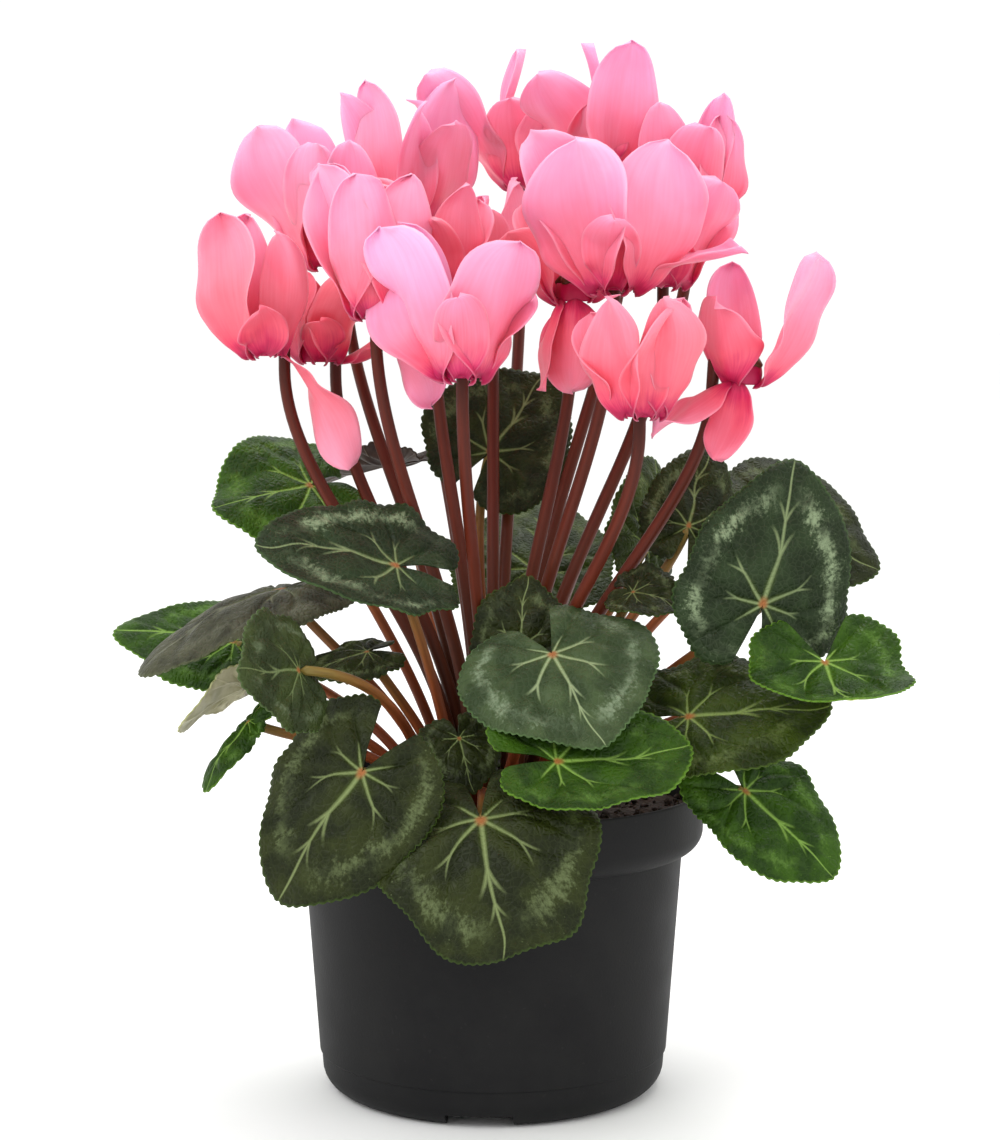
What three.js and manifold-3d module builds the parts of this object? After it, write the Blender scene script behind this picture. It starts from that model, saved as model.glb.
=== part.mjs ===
// A potted cyclamen: a nursery pot filled with compost, a tuber half sunk in it, leaves on their own
// petioles and nodding flowers on hooked stalks. Millimetres, +Z up. The origin is on the ground, on the
// pot's axis, and the viewer stands towards -Y.
import * as THREE from "three";
import { mergeVertices } from "three/addons/utils/BufferGeometryUtils.js";
import Module from "manifold-3d";

const wasm = await Module();
wasm.setup();

const GAP = 0.3; // clearance between pieces that touch
const SLIVER = 0.01; // edges shorter than this, left where petals cross, are closed up
const ROUND_STEPS = 30; // steps round everything that is turned about the pot's axis

// The pot, a moulded 12 cm nursery pot.
const POT = {
  rimRadius: 60,
  height: 86.4,
  rimBandBottom: 75,
  rimFoot: 68.9,
  neckRadius: 54.1,
  baseRadius: 49.5,
  baseCorner: 7,
  footStepHeight: 10.5,
  footStepDepth: 0.5,
  footStepSlope: 0.6,
  footRingInside: 38.5,
  footRingDraft: 1,
  wall: 1.2,
  floorRise: 3.5,
  floorTop: 4.7,
  floorFillet: 2,
};
const NOTCH = { count: 3, width: 18.5, height: 3.7, azimuth: -94.6 };
const DRAIN = { count: 6, radius: 4, ring: 26 };

// The compost, heaped a little round the tuber that sits in it.
const COMPOST = { top: 78.5, heap: 0.4, heapRadius: 36 };
const TUBER = { radius: 28, halfHeight: 14, middle: 72 };
const ROOT_DEPTH = 1.5; // how far below the tuber's skin the middle of a stem's end lies

// Leaves and their petioles.
const BLADE = 0.8; // thickness
const BLADE_STEPS = { along: 2, round: 10 };
const PETIOLE = { radius: 1.5, sides: 5, steps: 5 };
const LOBE_LENGTH = 0.56; // how far the two lobes reach behind the junction, as a share of the length
const SINUS = 12; // half the usual angle of the gap between the lobes, in degrees

// Flowers and their stalks.
const STALK = { radius: 1.7, sides: 5, steps: 6, hookSteps: 3, hookRadius: 4, clear: 8 };
const THROAT = { inside: 3.6, outside: 5.4, height: 5 };
const CALYX = { radius: 5.2, bottom: THROAT.height + GAP, top: 8.6 };
const PETAL = { thickness: 0.9, across: 1, along: 4, foot: 4.7, flare: 2.4 };

const rad = THREE.MathUtils.degToRad;
const vec = (x, y, z) => new THREE.Vector3(x, y, z);
const around = (azimuth, radius, z = 0) =>
  vec(radius * Math.cos(rad(azimuth)), radius * Math.sin(rad(azimuth)), z);

// ---- solids ---------------------------------------------------------------------------------------

// A closed geometry as a solid that can be joined and cut, turned outside out if it came inside out.
function solid(geometry) {
  const bare = geometry.index ? geometry.toNonIndexed() : geometry.clone();
  bare.deleteAttribute("normal");
  bare.deleteAttribute("uv");
  const merged = mergeVertices(bare, 1e-4);
  const vertProperties = merged.attributes.position.array;
  const corners = Array.from(merged.index.array);
  const triangles = [];
  for (let i = 0; i < corners.length; i += 3) {
    const [a, b, c] = corners.slice(i, i + 3);
    if (a !== b && b !== c && c !== a) triangles.push([a, b, c]);
  }
  const build = (list) =>
    new wasm.Manifold(new wasm.Mesh({ numProp: 3, vertProperties, triVerts: new Uint32Array(list.flat()) }));
  const made = build(triangles);
  return made.volume() > 0 ? made : build(triangles.map(([a, b, c]) => [a, c, b]));
}

function geometryOf(piece) {
  const mesh = piece.getMesh();
  const positions = new Float32Array(mesh.numVert * 3);
  for (let i = 0; i < mesh.numVert; i++)
    positions.set(mesh.vertProperties.subarray(i * mesh.numProp, i * mesh.numProp + 3), i * 3);
  const geometry = new THREE.BufferGeometry();
  geometry.setAttribute("position", new THREE.BufferAttribute(positions, 3));
  geometry.setIndex(new THREE.BufferAttribute(mesh.triVerts, 1));
  geometry.computeVertexNormals();
  return geometry;
}

const points2 = (profile) => profile.map(([r, z]) => new THREE.Vector2(r, z));

// A profile of [radius, height] pairs turned about the pot's axis.
const turned = (profile) =>
  solid(new THREE.LatheGeometry(points2(profile), ROUND_STEPS).rotateX(Math.PI / 2));

// A curve whose steps fall where its own parameter puts them, so that tight bends keep their points.
class Stem extends THREE.CatmullRomCurve3 {
  getPointAt(t, target) {
    return this.getPoint(t, target);
  }
  getTangentAt(t, target) {
    return this.getTangent(t, target);
  }
  getSpacedPoints(steps) {
    return this.getPoints(steps);
  }
}

// A round stem through the points.
function stem(points, radius, sides) {
  const section = new THREE.Shape();
  for (let i = 0; i < sides; i++) {
    const angle = (2 * Math.PI * i) / sides;
    section[i ? "lineTo" : "moveTo"](radius * Math.cos(angle), radius * Math.sin(angle));
  }
  section.closePath();
  return solid(
    new THREE.ExtrudeGeometry(section, { steps: points.length - 1, extrudePath: new Stem(points) }),
  );
}

// Points on a cubic Bezier curve, both ends included.
function bezier(p0, p1, p2, p3, steps) {
  return new THREE.CubicBezierCurve3(p0, p1, p2, p3).getPoints(steps);
}

// A plate: the unit box bent so that its first two axes run over the surface and its third through it.
// place(u, v) gives a point on the plate's middle and its normal, with u and v from 0 to 1.
function plate(place, stepsU, stepsV, thickness) {
  const box = new THREE.BoxGeometry(1, 1, 1, stepsU, stepsV, 1);
  const positions = box.attributes.position;
  for (let i = 0; i < positions.count; i++) {
    const { point, normal } = place(positions.getX(i) + 0.5, positions.getY(i) + 0.5);
    point.addScaledVector(normal, positions.getZ(i) * thickness);
    positions.setXYZ(i, point.x, point.y, point.z);
  }
  return solid(box);
}

// The same, from a function that only gives the point: the normal comes from its neighbours.
function surface(pointAt) {
  const EPS = 1e-3;
  return (u, v) => {
    const du = pointAt(u + EPS, v).sub(pointAt(u - EPS, v));
    const dv = pointAt(u, v + EPS).sub(pointAt(u, v - EPS));
    return { point: pointAt(u, v), normal: du.cross(dv).normalize() };
  };
}

// ---- pot, compost and tuber -----------------------------------------------------------------------

const arc = (r, z, radius, from, to, steps) =>
  Array.from({ length: steps + 1 }, (_, i) => {
    const angle = rad(from + ((to - from) * i) / steps);
    return [r + radius * Math.cos(angle), z + radius * Math.sin(angle)];
  });

// Radius of the outer wall at a height between the foot step and the rim.
function wallRadius(z) {
  const share = (z - POT.baseCorner) / (POT.rimFoot - POT.baseCorner);
  return POT.baseRadius + (POT.neckRadius - POT.baseRadius) * share;
}

// The inside of the pot, from the floor's edge up to a height under the rim, moved in by a clearance.
const inside = (clearance, top) => [
  [wallRadius(POT.baseCorner) - POT.wall - clearance - POT.floorFillet, POT.floorTop + clearance],
  [wallRadius(POT.footStepHeight) - POT.wall - clearance, POT.footStepHeight],
  [wallRadius(POT.rimFoot) - POT.wall - clearance, POT.rimFoot + clearance],
  [POT.rimRadius - POT.wall - clearance, POT.rimBandBottom + clearance],
  [POT.rimRadius - POT.wall - clearance, top],
];

function makePot() {
  const cornerRadius = POT.baseRadius - POT.baseCorner - POT.footStepDepth;
  const bulge = POT.rimRadius - POT.neckRadius;
  const profile = [
    [0, POT.floorRise],
    [POT.footRingInside, POT.floorRise],
    [POT.footRingInside + POT.footRingDraft, 0],
    ...arc(cornerRadius, POT.baseCorner, POT.baseCorner, -90, 0, 4),
    [wallRadius(POT.footStepHeight) - POT.footStepDepth, POT.footStepHeight],
    [wallRadius(POT.footStepHeight + POT.footStepSlope), POT.footStepHeight + POT.footStepSlope],
    ...arc(POT.neckRadius, POT.rimBandBottom, bulge, -90, 0, 3),
    [POT.rimRadius, POT.height],
    [POT.rimRadius - POT.wall, POT.height],
    ...inside(0, POT.rimBandBottom).slice(0, -1).reverse(),
    [0, POT.floorTop],
  ];
  let pot = turned(profile);
  for (let i = 0; i < NOTCH.count; i++) {
    const cut = new THREE.BoxGeometry(POT.baseRadius, NOTCH.width, 2 * NOTCH.height)
      .translate(POT.footRingInside - 2 + POT.baseRadius / 2, 0, 0)
      .rotateZ(rad(NOTCH.azimuth + (360 * i) / NOTCH.count));
    pot = pot.subtract(solid(cut));
  }
  for (let i = 0; i < DRAIN.count; i++) {
    const hole = new THREE.CylinderGeometry(DRAIN.radius, DRAIN.radius, 4 * POT.floorTop, 8)
      .rotateX(Math.PI / 2)
      .translate(...around((360 * i) / DRAIN.count, DRAIN.ring).toArray());
    pot = pot.subtract(solid(hole));
  }
  return pot;
}

// The tuber's profile from its top down to a given angle, grown by a clearance.
const tuberProfile = (clearance, fromAngle, steps) =>
  arc(0, 0, 1, fromAngle, -90, steps).map(([r, z]) => [
    Math.abs(r) * (TUBER.radius + clearance),
    TUBER.middle + z * (TUBER.halfHeight + clearance),
  ]);

const makeTuber = (clearance = 0) => {
  const profile = tuberProfile(clearance, 90, 9);
  profile[0][0] = profile.at(-1)[0] = 0;
  return turned(profile);
};

function makeCompost() {
  const bowl = tuberProfile(GAP, 30, 6).reverse();
  bowl[0][0] = 0;
  const floor = POT.floorTop + GAP;
  return turned([
    ...bowl,
    [COMPOST.heapRadius, COMPOST.top + COMPOST.heap],
    [POT.rimRadius - POT.wall - GAP, COMPOST.top],
    ...inside(GAP, COMPOST.top).slice(0, -1).reverse(),
    [0, floor],
  ]);
}

// Where a stem leaves the tuber: on its upper face, at a distance from the axis.
function crown(azimuth, radius) {
  const height = TUBER.halfHeight * Math.sqrt(1 - (radius / TUBER.radius) ** 2);
  return around(azimuth, radius, TUBER.middle + height - ROOT_DEPTH);
}

const tuberClearance = makeTuber(GAP);

// ---- leaves ---------------------------------------------------------------------------------------

// Each leaf is given by its junction, where the petiole meets the blade, its tip, and the way that its
// upper face looks. width is half the blade's width over its length. curl bends the tip down and roll the
// sides, in degrees, and less than 0 bends them up. wave is the height of the margin's waves in mm. sinus is
// half the angle of the gap between the lobes, where it isn't the usual one.
// root is the azimuth and distance from the axis at which the petiole leaves the tuber, and by, where it is
// given, is the point that draws the petiole's upper half round a neighbour.
const LEAVES = {
  front_left_low: {
    at: [-34, -67, 102], tip: [-55, -70, 68], face: [-0.2, -0.9, 0.28],
    width: 0.64, curl: 20, roll: 20, sinus: 20, root: [-118, 20],
  },
  front_centre_low: {
    at: [-3, -70, 90], tip: [3, -80, 52], face: [-0.1, -0.85, 0.5],
    width: 0.8, curl: 70, roll: 30, wave: 1.6, root: [-97, 20],
  },
  front_centre: {
    at: [16, -44, 130], tip: [29, -62, 107], face: [0.1, -0.85, 0.5],
    width: 0.94, curl: 18, roll: 16, sinus: 22, root: [-80, 15],
  },
  front_right_low: {
    at: [17, -60, 103.5], tip: [54, -55, 107], face: [-0.1, -0.6, 0.8],
    width: 0.64, curl: -14, roll: -22, root: [-66, 20],
  },
  right_low: {
    at: [53, -38, 112], tip: [92, -41, 115], face: [0.1, -0.66, 0.75],
    width: 0.6, curl: 10, roll: 6, root: [-46, 20],
  },
  right_upright: {
    at: [73, -37.5, 142.5], tip: [83, -27, 181.5], face: [0.22, -0.94, 0.3],
    width: 0.64, curl: 24, roll: 16, root: [-14, 20], by: [66, -12, 130],
  },
  right_twin_lobed: {
    at: [89, -45, 128], tip: [94, -74, 123], face: [0, -0.2, 0.97],
    width: 0.78, curl: -60, roll: -10, sinus: 32, root: [-2, 20], by: [104, 0, 110],
  },
  right_hanging: {
    at: [69, -34, 91], tip: [93, -43, 67], face: [0.2, -0.75, 0.6],
    width: 0.56, curl: 12, roll: 10, sinus: 18, root: [-30, 20],
  },
  right_back_high: {
    at: [81, 26, 161], tip: [113, 28, 146], face: [0.2, -0.7, 0.7],
    width: 0.8, curl: 16, roll: 10, root: [26, 18],
  },
  back_right_small: {
    at: [56, 8, 160], tip: [62, 20, 182], face: [0.2, -0.8, 0.5],
    width: 0.62, curl: 14, roll: 16, root: [4, 13],
  },
  centre_right_small: {
    at: [38.5, -24, 144.5], tip: [51.5, -29, 141], face: [-0.2, -0.5, 0.85],
    width: 0.8, curl: 16, roll: -20, root: [-36, 14],
  },
  back_centre_high: {
    at: [-1, 30, 180], tip: [17, 41, 203], face: [0.1, -0.85, 0.5],
    width: 0.8, curl: 20, roll: -10, root: [94, 13],
  },
  left_large: {
    at: [-26, -35, 153], tip: [-64, -46, 161], face: [-0.05, -0.62, 0.8],
    width: 0.58, curl: 6, roll: -14, root: [-135, 14],
  },
  left_back_wavy: {
    at: [-53, 20, 171], tip: [-80, 6, 163], face: [-0.2, -0.8, 0.6],
    width: 0.85, curl: 20, roll: 10, wave: 2.2, root: [150, 14],
  },
  back_left_folded: {
    at: [-30, 42, 176], tip: [-53, 50, 169], face: [-0.1, 0.2, 1],
    width: 0.6, curl: 10, roll: -50, root: [124, 14],
  },
  left_outer: {
    at: [-76, 22, 125], tip: [-112, 26, 127], face: [-0.1, -0.6, 0.8],
    width: 0.56, curl: 14, roll: 18, root: [164, 20],
  },
  left_drooping: {
    at: [-60, 0, 143], tip: [-97, -20, 121], face: [-0.3, -0.2, 0.9],
    width: 0.46, curl: 40, roll: 46, root: [-178, 15],
  },
  left_front_oval: {
    at: [-50, -69, 129], tip: [-64, -88, 131], face: [0.7, -0.5, 0.35],
    width: 0.78, curl: 16, roll: 12, root: [-142, 20], by: [-30, -54, 126],
  },
  left_pale: {
    at: [-70, -6, 116], tip: [-87, -24, 107], face: [-0.5, 0.5, 0.7],
    width: 0.5, curl: 10, roll: -30, root: [-176, 20],
  },
  left_curled_small: {
    at: [-68, -20, 108], tip: [-80, -30, 90], face: [-0.7, -0.5, 0.4],
    width: 0.36, curl: 24, roll: 60, root: [-158, 20],
  },
  left_inner_dark: {
    at: [-35, -16, 127], tip: [-52, -22, 120], face: [0, -0.4, 0.9],
    width: 0.6, curl: 20, roll: 30, root: [-160, 13],
  },
  back_right_tall: {
    at: [46, 38, 152], tip: [50, 58, 176], face: [0.2, 0.6, 0.8],
    width: 0.6, curl: 20, roll: 20, root: [44, 18],
  },
  back_centre: {
    at: [12, 55, 143], tip: [15, 88, 162], face: [0, -0.5, 0.86],
    width: 0.74, curl: 18, roll: 14, root: [76, 20],
  },
  centre_dark: {
    at: [7.5, -31, 130], tip: [9, -24, 149], face: [0, -0.8, 0.6],
    width: 0.76, curl: 20, roll: 14, root: [-68, 14],
  },
  front_inner_dark: {
    at: [-9, -43, 107], tip: [-5, -49, 93], face: [0.1, -0.7, 0.7],
    width: 0.8, curl: 16, roll: 14, root: [-106, 17],
  },
};

// Outline of a heart-shaped blade: distance from the junction at an angle from the midrib, for length 1.
function outline(angle, width) {
  const behind = Math.cos(angle) < 0;
  const length = behind ? LOBE_LENGTH : 1;
  const ellipse = 1 / Math.hypot(Math.cos(angle) / length, Math.sin(angle) / width);
  const tip = 0.08 * Math.exp(-((angle / 0.22) ** 2));
  const pastShoulder = Math.max(0, (Math.abs(angle) - (Math.PI - 0.75)) / 0.75);
  return ellipse * (0.92 + tip) * (1 - 0.35 * pastShoulder ** 2);
}

// The blade's own axes at its junction: m along the midrib, n out of the upper face, s across.
function leafFrame(leaf) {
  const at = vec(...leaf.at);
  const chord = vec(...leaf.tip).sub(at);
  const span = chord.length();
  const ahead = chord.clone().normalize();
  const up = vec(...leaf.face);
  up.addScaledVector(ahead, -up.dot(ahead)).normalize();
  const half = rad(leaf.curl) / 2;
  const m = ahead.clone().multiplyScalar(Math.cos(half)).addScaledVector(up, Math.sin(half));
  const n = up.clone().multiplyScalar(Math.cos(half)).addScaledVector(ahead, -Math.sin(half));
  return { at, m, n, s: n.clone().cross(m), length: (span * half) / Math.sin(half) };
}

// Arc length run along a circle of a given total bend: how far ahead and how far down it ends.
function bend(run, total, length) {
  const rate = total / length;
  if (Math.abs(rate) < 1e-9) return [run, 0];
  return [Math.sin(rate * run) / rate, (1 - Math.cos(rate * run)) / rate];
}

function bladePoint(leaf, frame, share, angle) {
  const reach = share * frame.length * outline(angle, leaf.width);
  const [x, dropX] = bend(reach * Math.cos(angle), rad(leaf.curl), frame.length);
  const [y, dropY] = bend(reach * Math.sin(angle), rad(leaf.roll), frame.length * leaf.width);
  const lift = (leaf.wave ?? 0) * share ** 2 * Math.sin(5 * angle + 1);
  return frame.at
    .clone()
    .addScaledVector(frame.m, x)
    .addScaledVector(frame.s, y)
    .addScaledVector(frame.n, lift - dropX - dropY);
}

function petiolePoints(leaf, frame) {
  const root = crown(...leaf.root);
  const run = frame.at.clone().sub(root);
  const way = run.clone().normalize();
  const arrival = vec(0, 0, 0)
    .addScaledVector(frame.n, Math.max(way.dot(frame.n), 0.35))
    .addScaledVector(frame.m, way.dot(frame.m))
    .addScaledVector(frame.s, 0.4 * way.dot(frame.s))
    .normalize();
  const length = run.length();
  const leave = vec(way.x * 0.5, way.y * 0.5, 1).normalize();
  return bezier(
    root,
    root.clone().addScaledVector(leave, 0.4 * length),
    leaf.by ? vec(...leaf.by) : frame.at.clone().addScaledVector(arrival, -0.25 * length),
    frame.at.clone().addScaledVector(arrival, 0.3 * BLADE),
    PETIOLE.steps,
  );
}

function makeLeaf(leaf) {
  const frame = leafFrame(leaf);
  const sweep = Math.PI - rad(leaf.sinus ?? SINUS);
  const innermost = 1 / frame.length;
  const blade = plate(
    surface((u, v) => bladePoint(leaf, frame, innermost + u * (1 - innermost), (2 * v - 1) * sweep)),
    BLADE_STEPS.along,
    BLADE_STEPS.round,
    BLADE,
  );
  const petiole = stem(petiolePoints(leaf, frame), PETIOLE.radius, PETIOLE.sides).subtract(tuberClearance);
  return blade.add(petiole);
}

// ---- flowers --------------------------------------------------------------------------------------

// Each flower is given by the middle of its mouth, the lean of its axis, the azimuth at which the stalk
// passes the mouth and hooks over, and its petals. A petal is [azimuth of its foot, lean from the flower's
// axis, length, width, azimuth that its broad upper part faces], in degrees and mm. A lean past 90 hangs.
const FLOWERS = {
  front_centre: {
    mouth: [-8, -50, 204], lean: [0, 0], hook: 90,
    petals: [
      [200, 25, 42, 26, 270], [145, 20, 43, 22, 250], [335, 20, 37, 29, 280],
      [268, 26, 25, 14, 268], [35, 30, 32, 18, 290],
    ],
  },
  right_front_high: {
    mouth: [33, -34, 227], lean: [0, 0], hook: 90,
    petals: [
      [152, 25, 44, 26, 263], [215, 13, 41, 29, 273], [325, 18, 40, 27, 270],
      [263, 31, 25, 15, 275], [20, 62, 32, 15, 328],
    ],
  },
  front_right: {
    mouth: [39, -54, 194], lean: [0, 0], hook: 90,
    petals: [
      [162, 20, 29, 16, 263], [227, 8, 32, 19, 229], [277, 5, 30, 15, 330],
      [325, 11, 32, 18, 245], [15, 15, 32, 23, 285],
    ],
  },
  left_outer: {
    mouth: [-63, -10, 209], lean: [0, 0], hook: 55,
    petals: [
      [205, 12, 40, 21, 275], [150, 8, 40, 18, 250], [325, 3, 34, 13, 260],
      [268, 34, 18, 13, 275], [5, 145, 36, 15, 300],
    ],
  },
  left_front: {
    mouth: [-32, -28, 220], lean: [0, 0], hook: 90,
    petals: [
      [195, 16, 42, 24, 267], [151, 14, 43, 18, 252], [262, 11, 38, 18, 299],
      [330, 14, 38, 20, 280], [21, 154, 28, 14, 302],
    ],
  },
  left_high: {
    mouth: [-47, 24, 234], lean: [0, 0], hook: 60,
    petals: [
      [190, 21, 43, 24, 268], [130, 11, 43, 22, 248], [244, 13, 36, 19, 292],
      [310, 7, 36, 17, 273], [1, 30, 28, 16, 282],
    ],
  },
  left_inner: {
    mouth: [-49, 4.6, 207], lean: [0, 0], hook: 60,
    petals: [
      [195, 8, 26, 14, 250], [140, 8, 26, 18, 270], [320, 18, 27, 20, 290],
      [275, 34, 16, 12, 270], [10, 60, 22, 16, 320],
    ],
  },
  back_left_high: {
    mouth: [-23, 46, 247], lean: [0, 0], hook: 90,
    petals: [
      [152, 24, 42, 15, 247], [203, 16, 43, 20, 268], [263, 10, 36, 12, 303],
      [318, 22, 31, 19, 275], [30, 10, 43, 18, 283],
    ],
  },
  centre_left: {
    mouth: [-17, -8, 226], lean: [0, 0], hook: 90,
    petals: [
      [155, 20, 34, 20, 255], [215, 24, 31, 22, 265], [270, 20, 24, 16, 275],
      [325, 16, 31, 16, 290], [25, 20, 28, 17, 280],
    ],
  },
  centre: {
    mouth: [0, 20, 222], lean: [0, 0], hook: 90,
    petals: [
      [158, 10, 34, 15, 260], [205, 8, 32, 15, 230], [270, 6, 28, 15, 270],
      [330, 12, 36, 15, 320], [20, 8, 38, 14, 300],
    ],
  },
  back_centre_high: {
    mouth: [9, 60, 258], lean: [0, 0], hook: 90,
    petals: [
      [140, 2, 42, 9, 200], [190, 34, 42, 18, 260], [250, 12, 27, 20, 265],
      [315, 20, 32, 21, 280], [25, 10, 34, 18, 270],
    ],
  },
  back_right_high: {
    mouth: [32, 32, 261], lean: [0, 0], hook: 0,
    petals: [
      [70, 2, 38, 7, 200], [130, 20, 30, 15, 250], [200, 28, 33, 24, 265],
      [250, 16, 20, 17, 280], [300, 16, 38, 20, 270],
    ],
  },
  right_back_high: {
    mouth: [57, 18, 247], lean: [0, 0], hook: 90,
    petals: [
      [160, 13, 34, 16, 249], [216, 13, 34, 17, 268], [275, 18, 28, 16, 300],
      [325, 16, 30, 16, 290], [20, 7, 36, 14, 269],
    ],
  },
  right_high: {
    mouth: [48, -4, 228], lean: [0, 0], hook: 90,
    petals: [
      [160, 13, 30, 14, 247], [212, 13, 22, 13, 250], [277, 32, 18, 13, 280],
      [324, 24, 32, 22, 288], [24, 17, 34, 19, 285],
    ],
  },
  right_outer: {
    mouth: [68, -24, 202], lean: [0.05, -0.1], hook: 180,
    petals: [
      [115, 14, 33, 14, 250], [335, 17, 40, 19, 285], [234, 30, 25, 18, 255],
      [218, 112, 29, 12, 200], [252, 160, 22, 12, 280],
    ],
  },
  centre_right: {
    mouth: [23, -8, 224], lean: [0, 0], hook: 90,
    petals: [
      [190, 32, 24, 24, 250], [148, 20, 28, 18, 260], [266, 158, 27, 20, 272],
      [334, 12, 20, 13, 280], [216, 150, 27, 8, 290],
    ],
  },
};
const STALK_ROOT_SHARE = 0.16; // a stalk's distance from the axis at the tuber, as a share of its flower's
const STALK_ROOT_LEAST = 3;

// The flower's own axes: a up its axis, b towards the hook, c across.
function flowerFrame(flower) {
  const a = vec(flower.lean[0], flower.lean[1], 1).normalize();
  const b = around(flower.hook, 1);
  b.addScaledVector(a, -b.dot(a)).normalize();
  return { mouth: vec(...flower.mouth), a, b, c: a.clone().cross(b) };
}

// A point of the flower at a radius, an angle from the hook and a height above the mouth.
const flowerPoint = (frame, radius, angle, height) =>
  frame.mouth
    .clone()
    .addScaledVector(frame.b, radius * Math.cos(angle))
    .addScaledVector(frame.c, radius * Math.sin(angle))
    .addScaledVector(frame.a, height);

// A profile of [radius, height] pairs turned about the flower's own axis.
function turnedOnFlower(profile, frame, steps) {
  const place = new THREE.Matrix4().makeBasis(frame.b, frame.c, frame.a).setPosition(frame.mouth);
  return solid(new THREE.LatheGeometry(points2(profile), steps).rotateX(Math.PI / 2).applyMatrix4(place));
}

function stalkPoints(flower, frame) {
  const side = (radius, height) => flowerPoint(frame, radius, 0, height);
  const out = Math.hypot(frame.mouth.x, frame.mouth.y);
  const azimuth = THREE.MathUtils.radToDeg(Math.atan2(frame.mouth.y, frame.mouth.x));
  const root = crown(azimuth, Math.max(STALK_ROOT_LEAST, STALK_ROOT_SHARE * out));
  const beside = side(STALK.clear, -4);
  const rise = beside.z - root.z;
  const climb = bezier(
    root,
    root.clone().add(vec(0, 0, 0.4 * rise)),
    beside.clone().addScaledVector(frame.a, -0.3 * rise),
    beside,
    STALK.steps,
  );
  const hook = Array.from({ length: STALK.hookSteps + 1 }, (_, i) => {
    const angle = (Math.PI * i) / STALK.hookSteps;
    return side(STALK.hookRadius * (1 + Math.cos(angle)), CALYX.top - 1 + STALK.hookRadius * Math.sin(angle));
  });
  return [...climb, ...hook];
}

function makeStalk(flower) {
  const frame = flowerFrame(flower);
  const stalk = stem(stalkPoints(flower, frame), STALK.radius, STALK.sides);
  const calyx = turnedOnFlower(
    [[0, CALYX.bottom], [CALYX.radius, CALYX.bottom], [CALYX.radius * 0.8, CALYX.top - 1.2], [0, CALYX.top]],
    frame,
    6,
  );
  return stalk.add(calyx).subtract(tuberClearance);
}

// Half the petal's width at a share of its length: narrow foot, broadest past the middle, round tip.
function petalHalfWidth(share, width) {
  const BROADEST = 0.62;
  const swell = Math.sin((Math.PI * share) / (2 * BROADEST)) ** 2;
  if (share < BROADEST) return (width / 2) * (0.26 + 0.74 * swell);
  return (width / 2) * Math.sqrt(Math.max(0.03, 1 - ((share - BROADEST) / (1 - BROADEST)) ** 2));
}

function makePetal(frame, hook, [azimuth, lean, length, width, facing]) {
  const angle = rad(azimuth - hook);
  const twist = rad(THREE.MathUtils.euclideanModulo(facing - azimuth + 90, 180) - 90);
  const reach = length * Math.sin(rad(lean));
  const rise = length * Math.cos(rad(lean));
  const route = new THREE.CubicBezierCurve3(
    flowerPoint(frame, PETAL.foot, angle, 0.8),
    flowerPoint(frame, PETAL.foot + PETAL.flare, angle, 0),
    flowerPoint(frame, PETAL.foot + 0.4 * reach + 1.5, angle, 0.5 * rise),
    flowerPoint(frame, PETAL.foot + reach, angle, rise),
  );
  const tangential = frame.c.clone().multiplyScalar(Math.cos(angle));
  tangential.addScaledVector(frame.b, -Math.sin(angle));
  const place = surface((u, v) => {
    const share = THREE.MathUtils.clamp(v, 0, 1);
    const ahead = route.getTangent(share);
    const across = tangential.clone().addScaledVector(ahead, -tangential.dot(ahead)).normalize();
    across.applyAxisAngle(ahead, twist * share ** 1.8);
    return route
      .getPoint(share)
      .addScaledVector(ahead, (v - share) * length)
      .addScaledVector(across, (2 * u - 1) * petalHalfWidth(share, width));
  });
  return plate(place, PETAL.across, PETAL.along, PETAL.thickness);
}

function makeCorolla(flower) {
  const frame = flowerFrame(flower);
  const throat = turnedOnFlower(
    [
      [THROAT.inside, 0],
      [THROAT.outside, 0.6],
      [THROAT.outside * 0.92, THROAT.height],
      [THROAT.inside * 0.92, THROAT.height],
      [THROAT.inside, 0],
    ],
    frame,
    6,
  );
  const joined = flower.petals.reduce((all, petal) => all.add(makePetal(frame, flower.hook, petal)), throat);
  // Petals and throat can close in a bubble, which is filled by keeping the outer body alone.
  const outer = joined.decompose().reduce((kept, body) => (body.volume() > kept.volume() ? body : kept));
  return outer.simplify(SLIVER);
}

// ---- the plant ------------------------------------------------------------------------------------

const finish = (color, roughness) => new THREE.MeshStandardMaterial({ color, roughness, metalness: 0 });
const plant = new THREE.Group();

function add(name, piece, material) {
  const mesh = new THREE.Mesh(geometryOf(piece), material);
  mesh.name = name;
  plant.add(mesh);
}

add("pot", makePot(), finish(0x2e2e2e, 0.5));
add("compost", makeCompost(), finish(0x2b1d14, 1));
add("tuber", makeTuber(), finish(0x5a4030, 0.9));
for (const [name, leaf] of Object.entries(LEAVES)) add(`leaf_${name}`, makeLeaf(leaf), finish(0x33421f, 0.5));
for (const [name, flower] of Object.entries(FLOWERS)) {
  add(`stalk_${name}`, makeStalk(flower), finish(0x4a1e16, 0.5));
  add(`corolla_${name}`, makeCorolla(flower), finish(0xff8fa8, 0.6));
}

export default plant;
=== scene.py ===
import math
import random

import bmesh
import bpy
from mathutils import Matrix, Quaternion, Vector, noise


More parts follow.
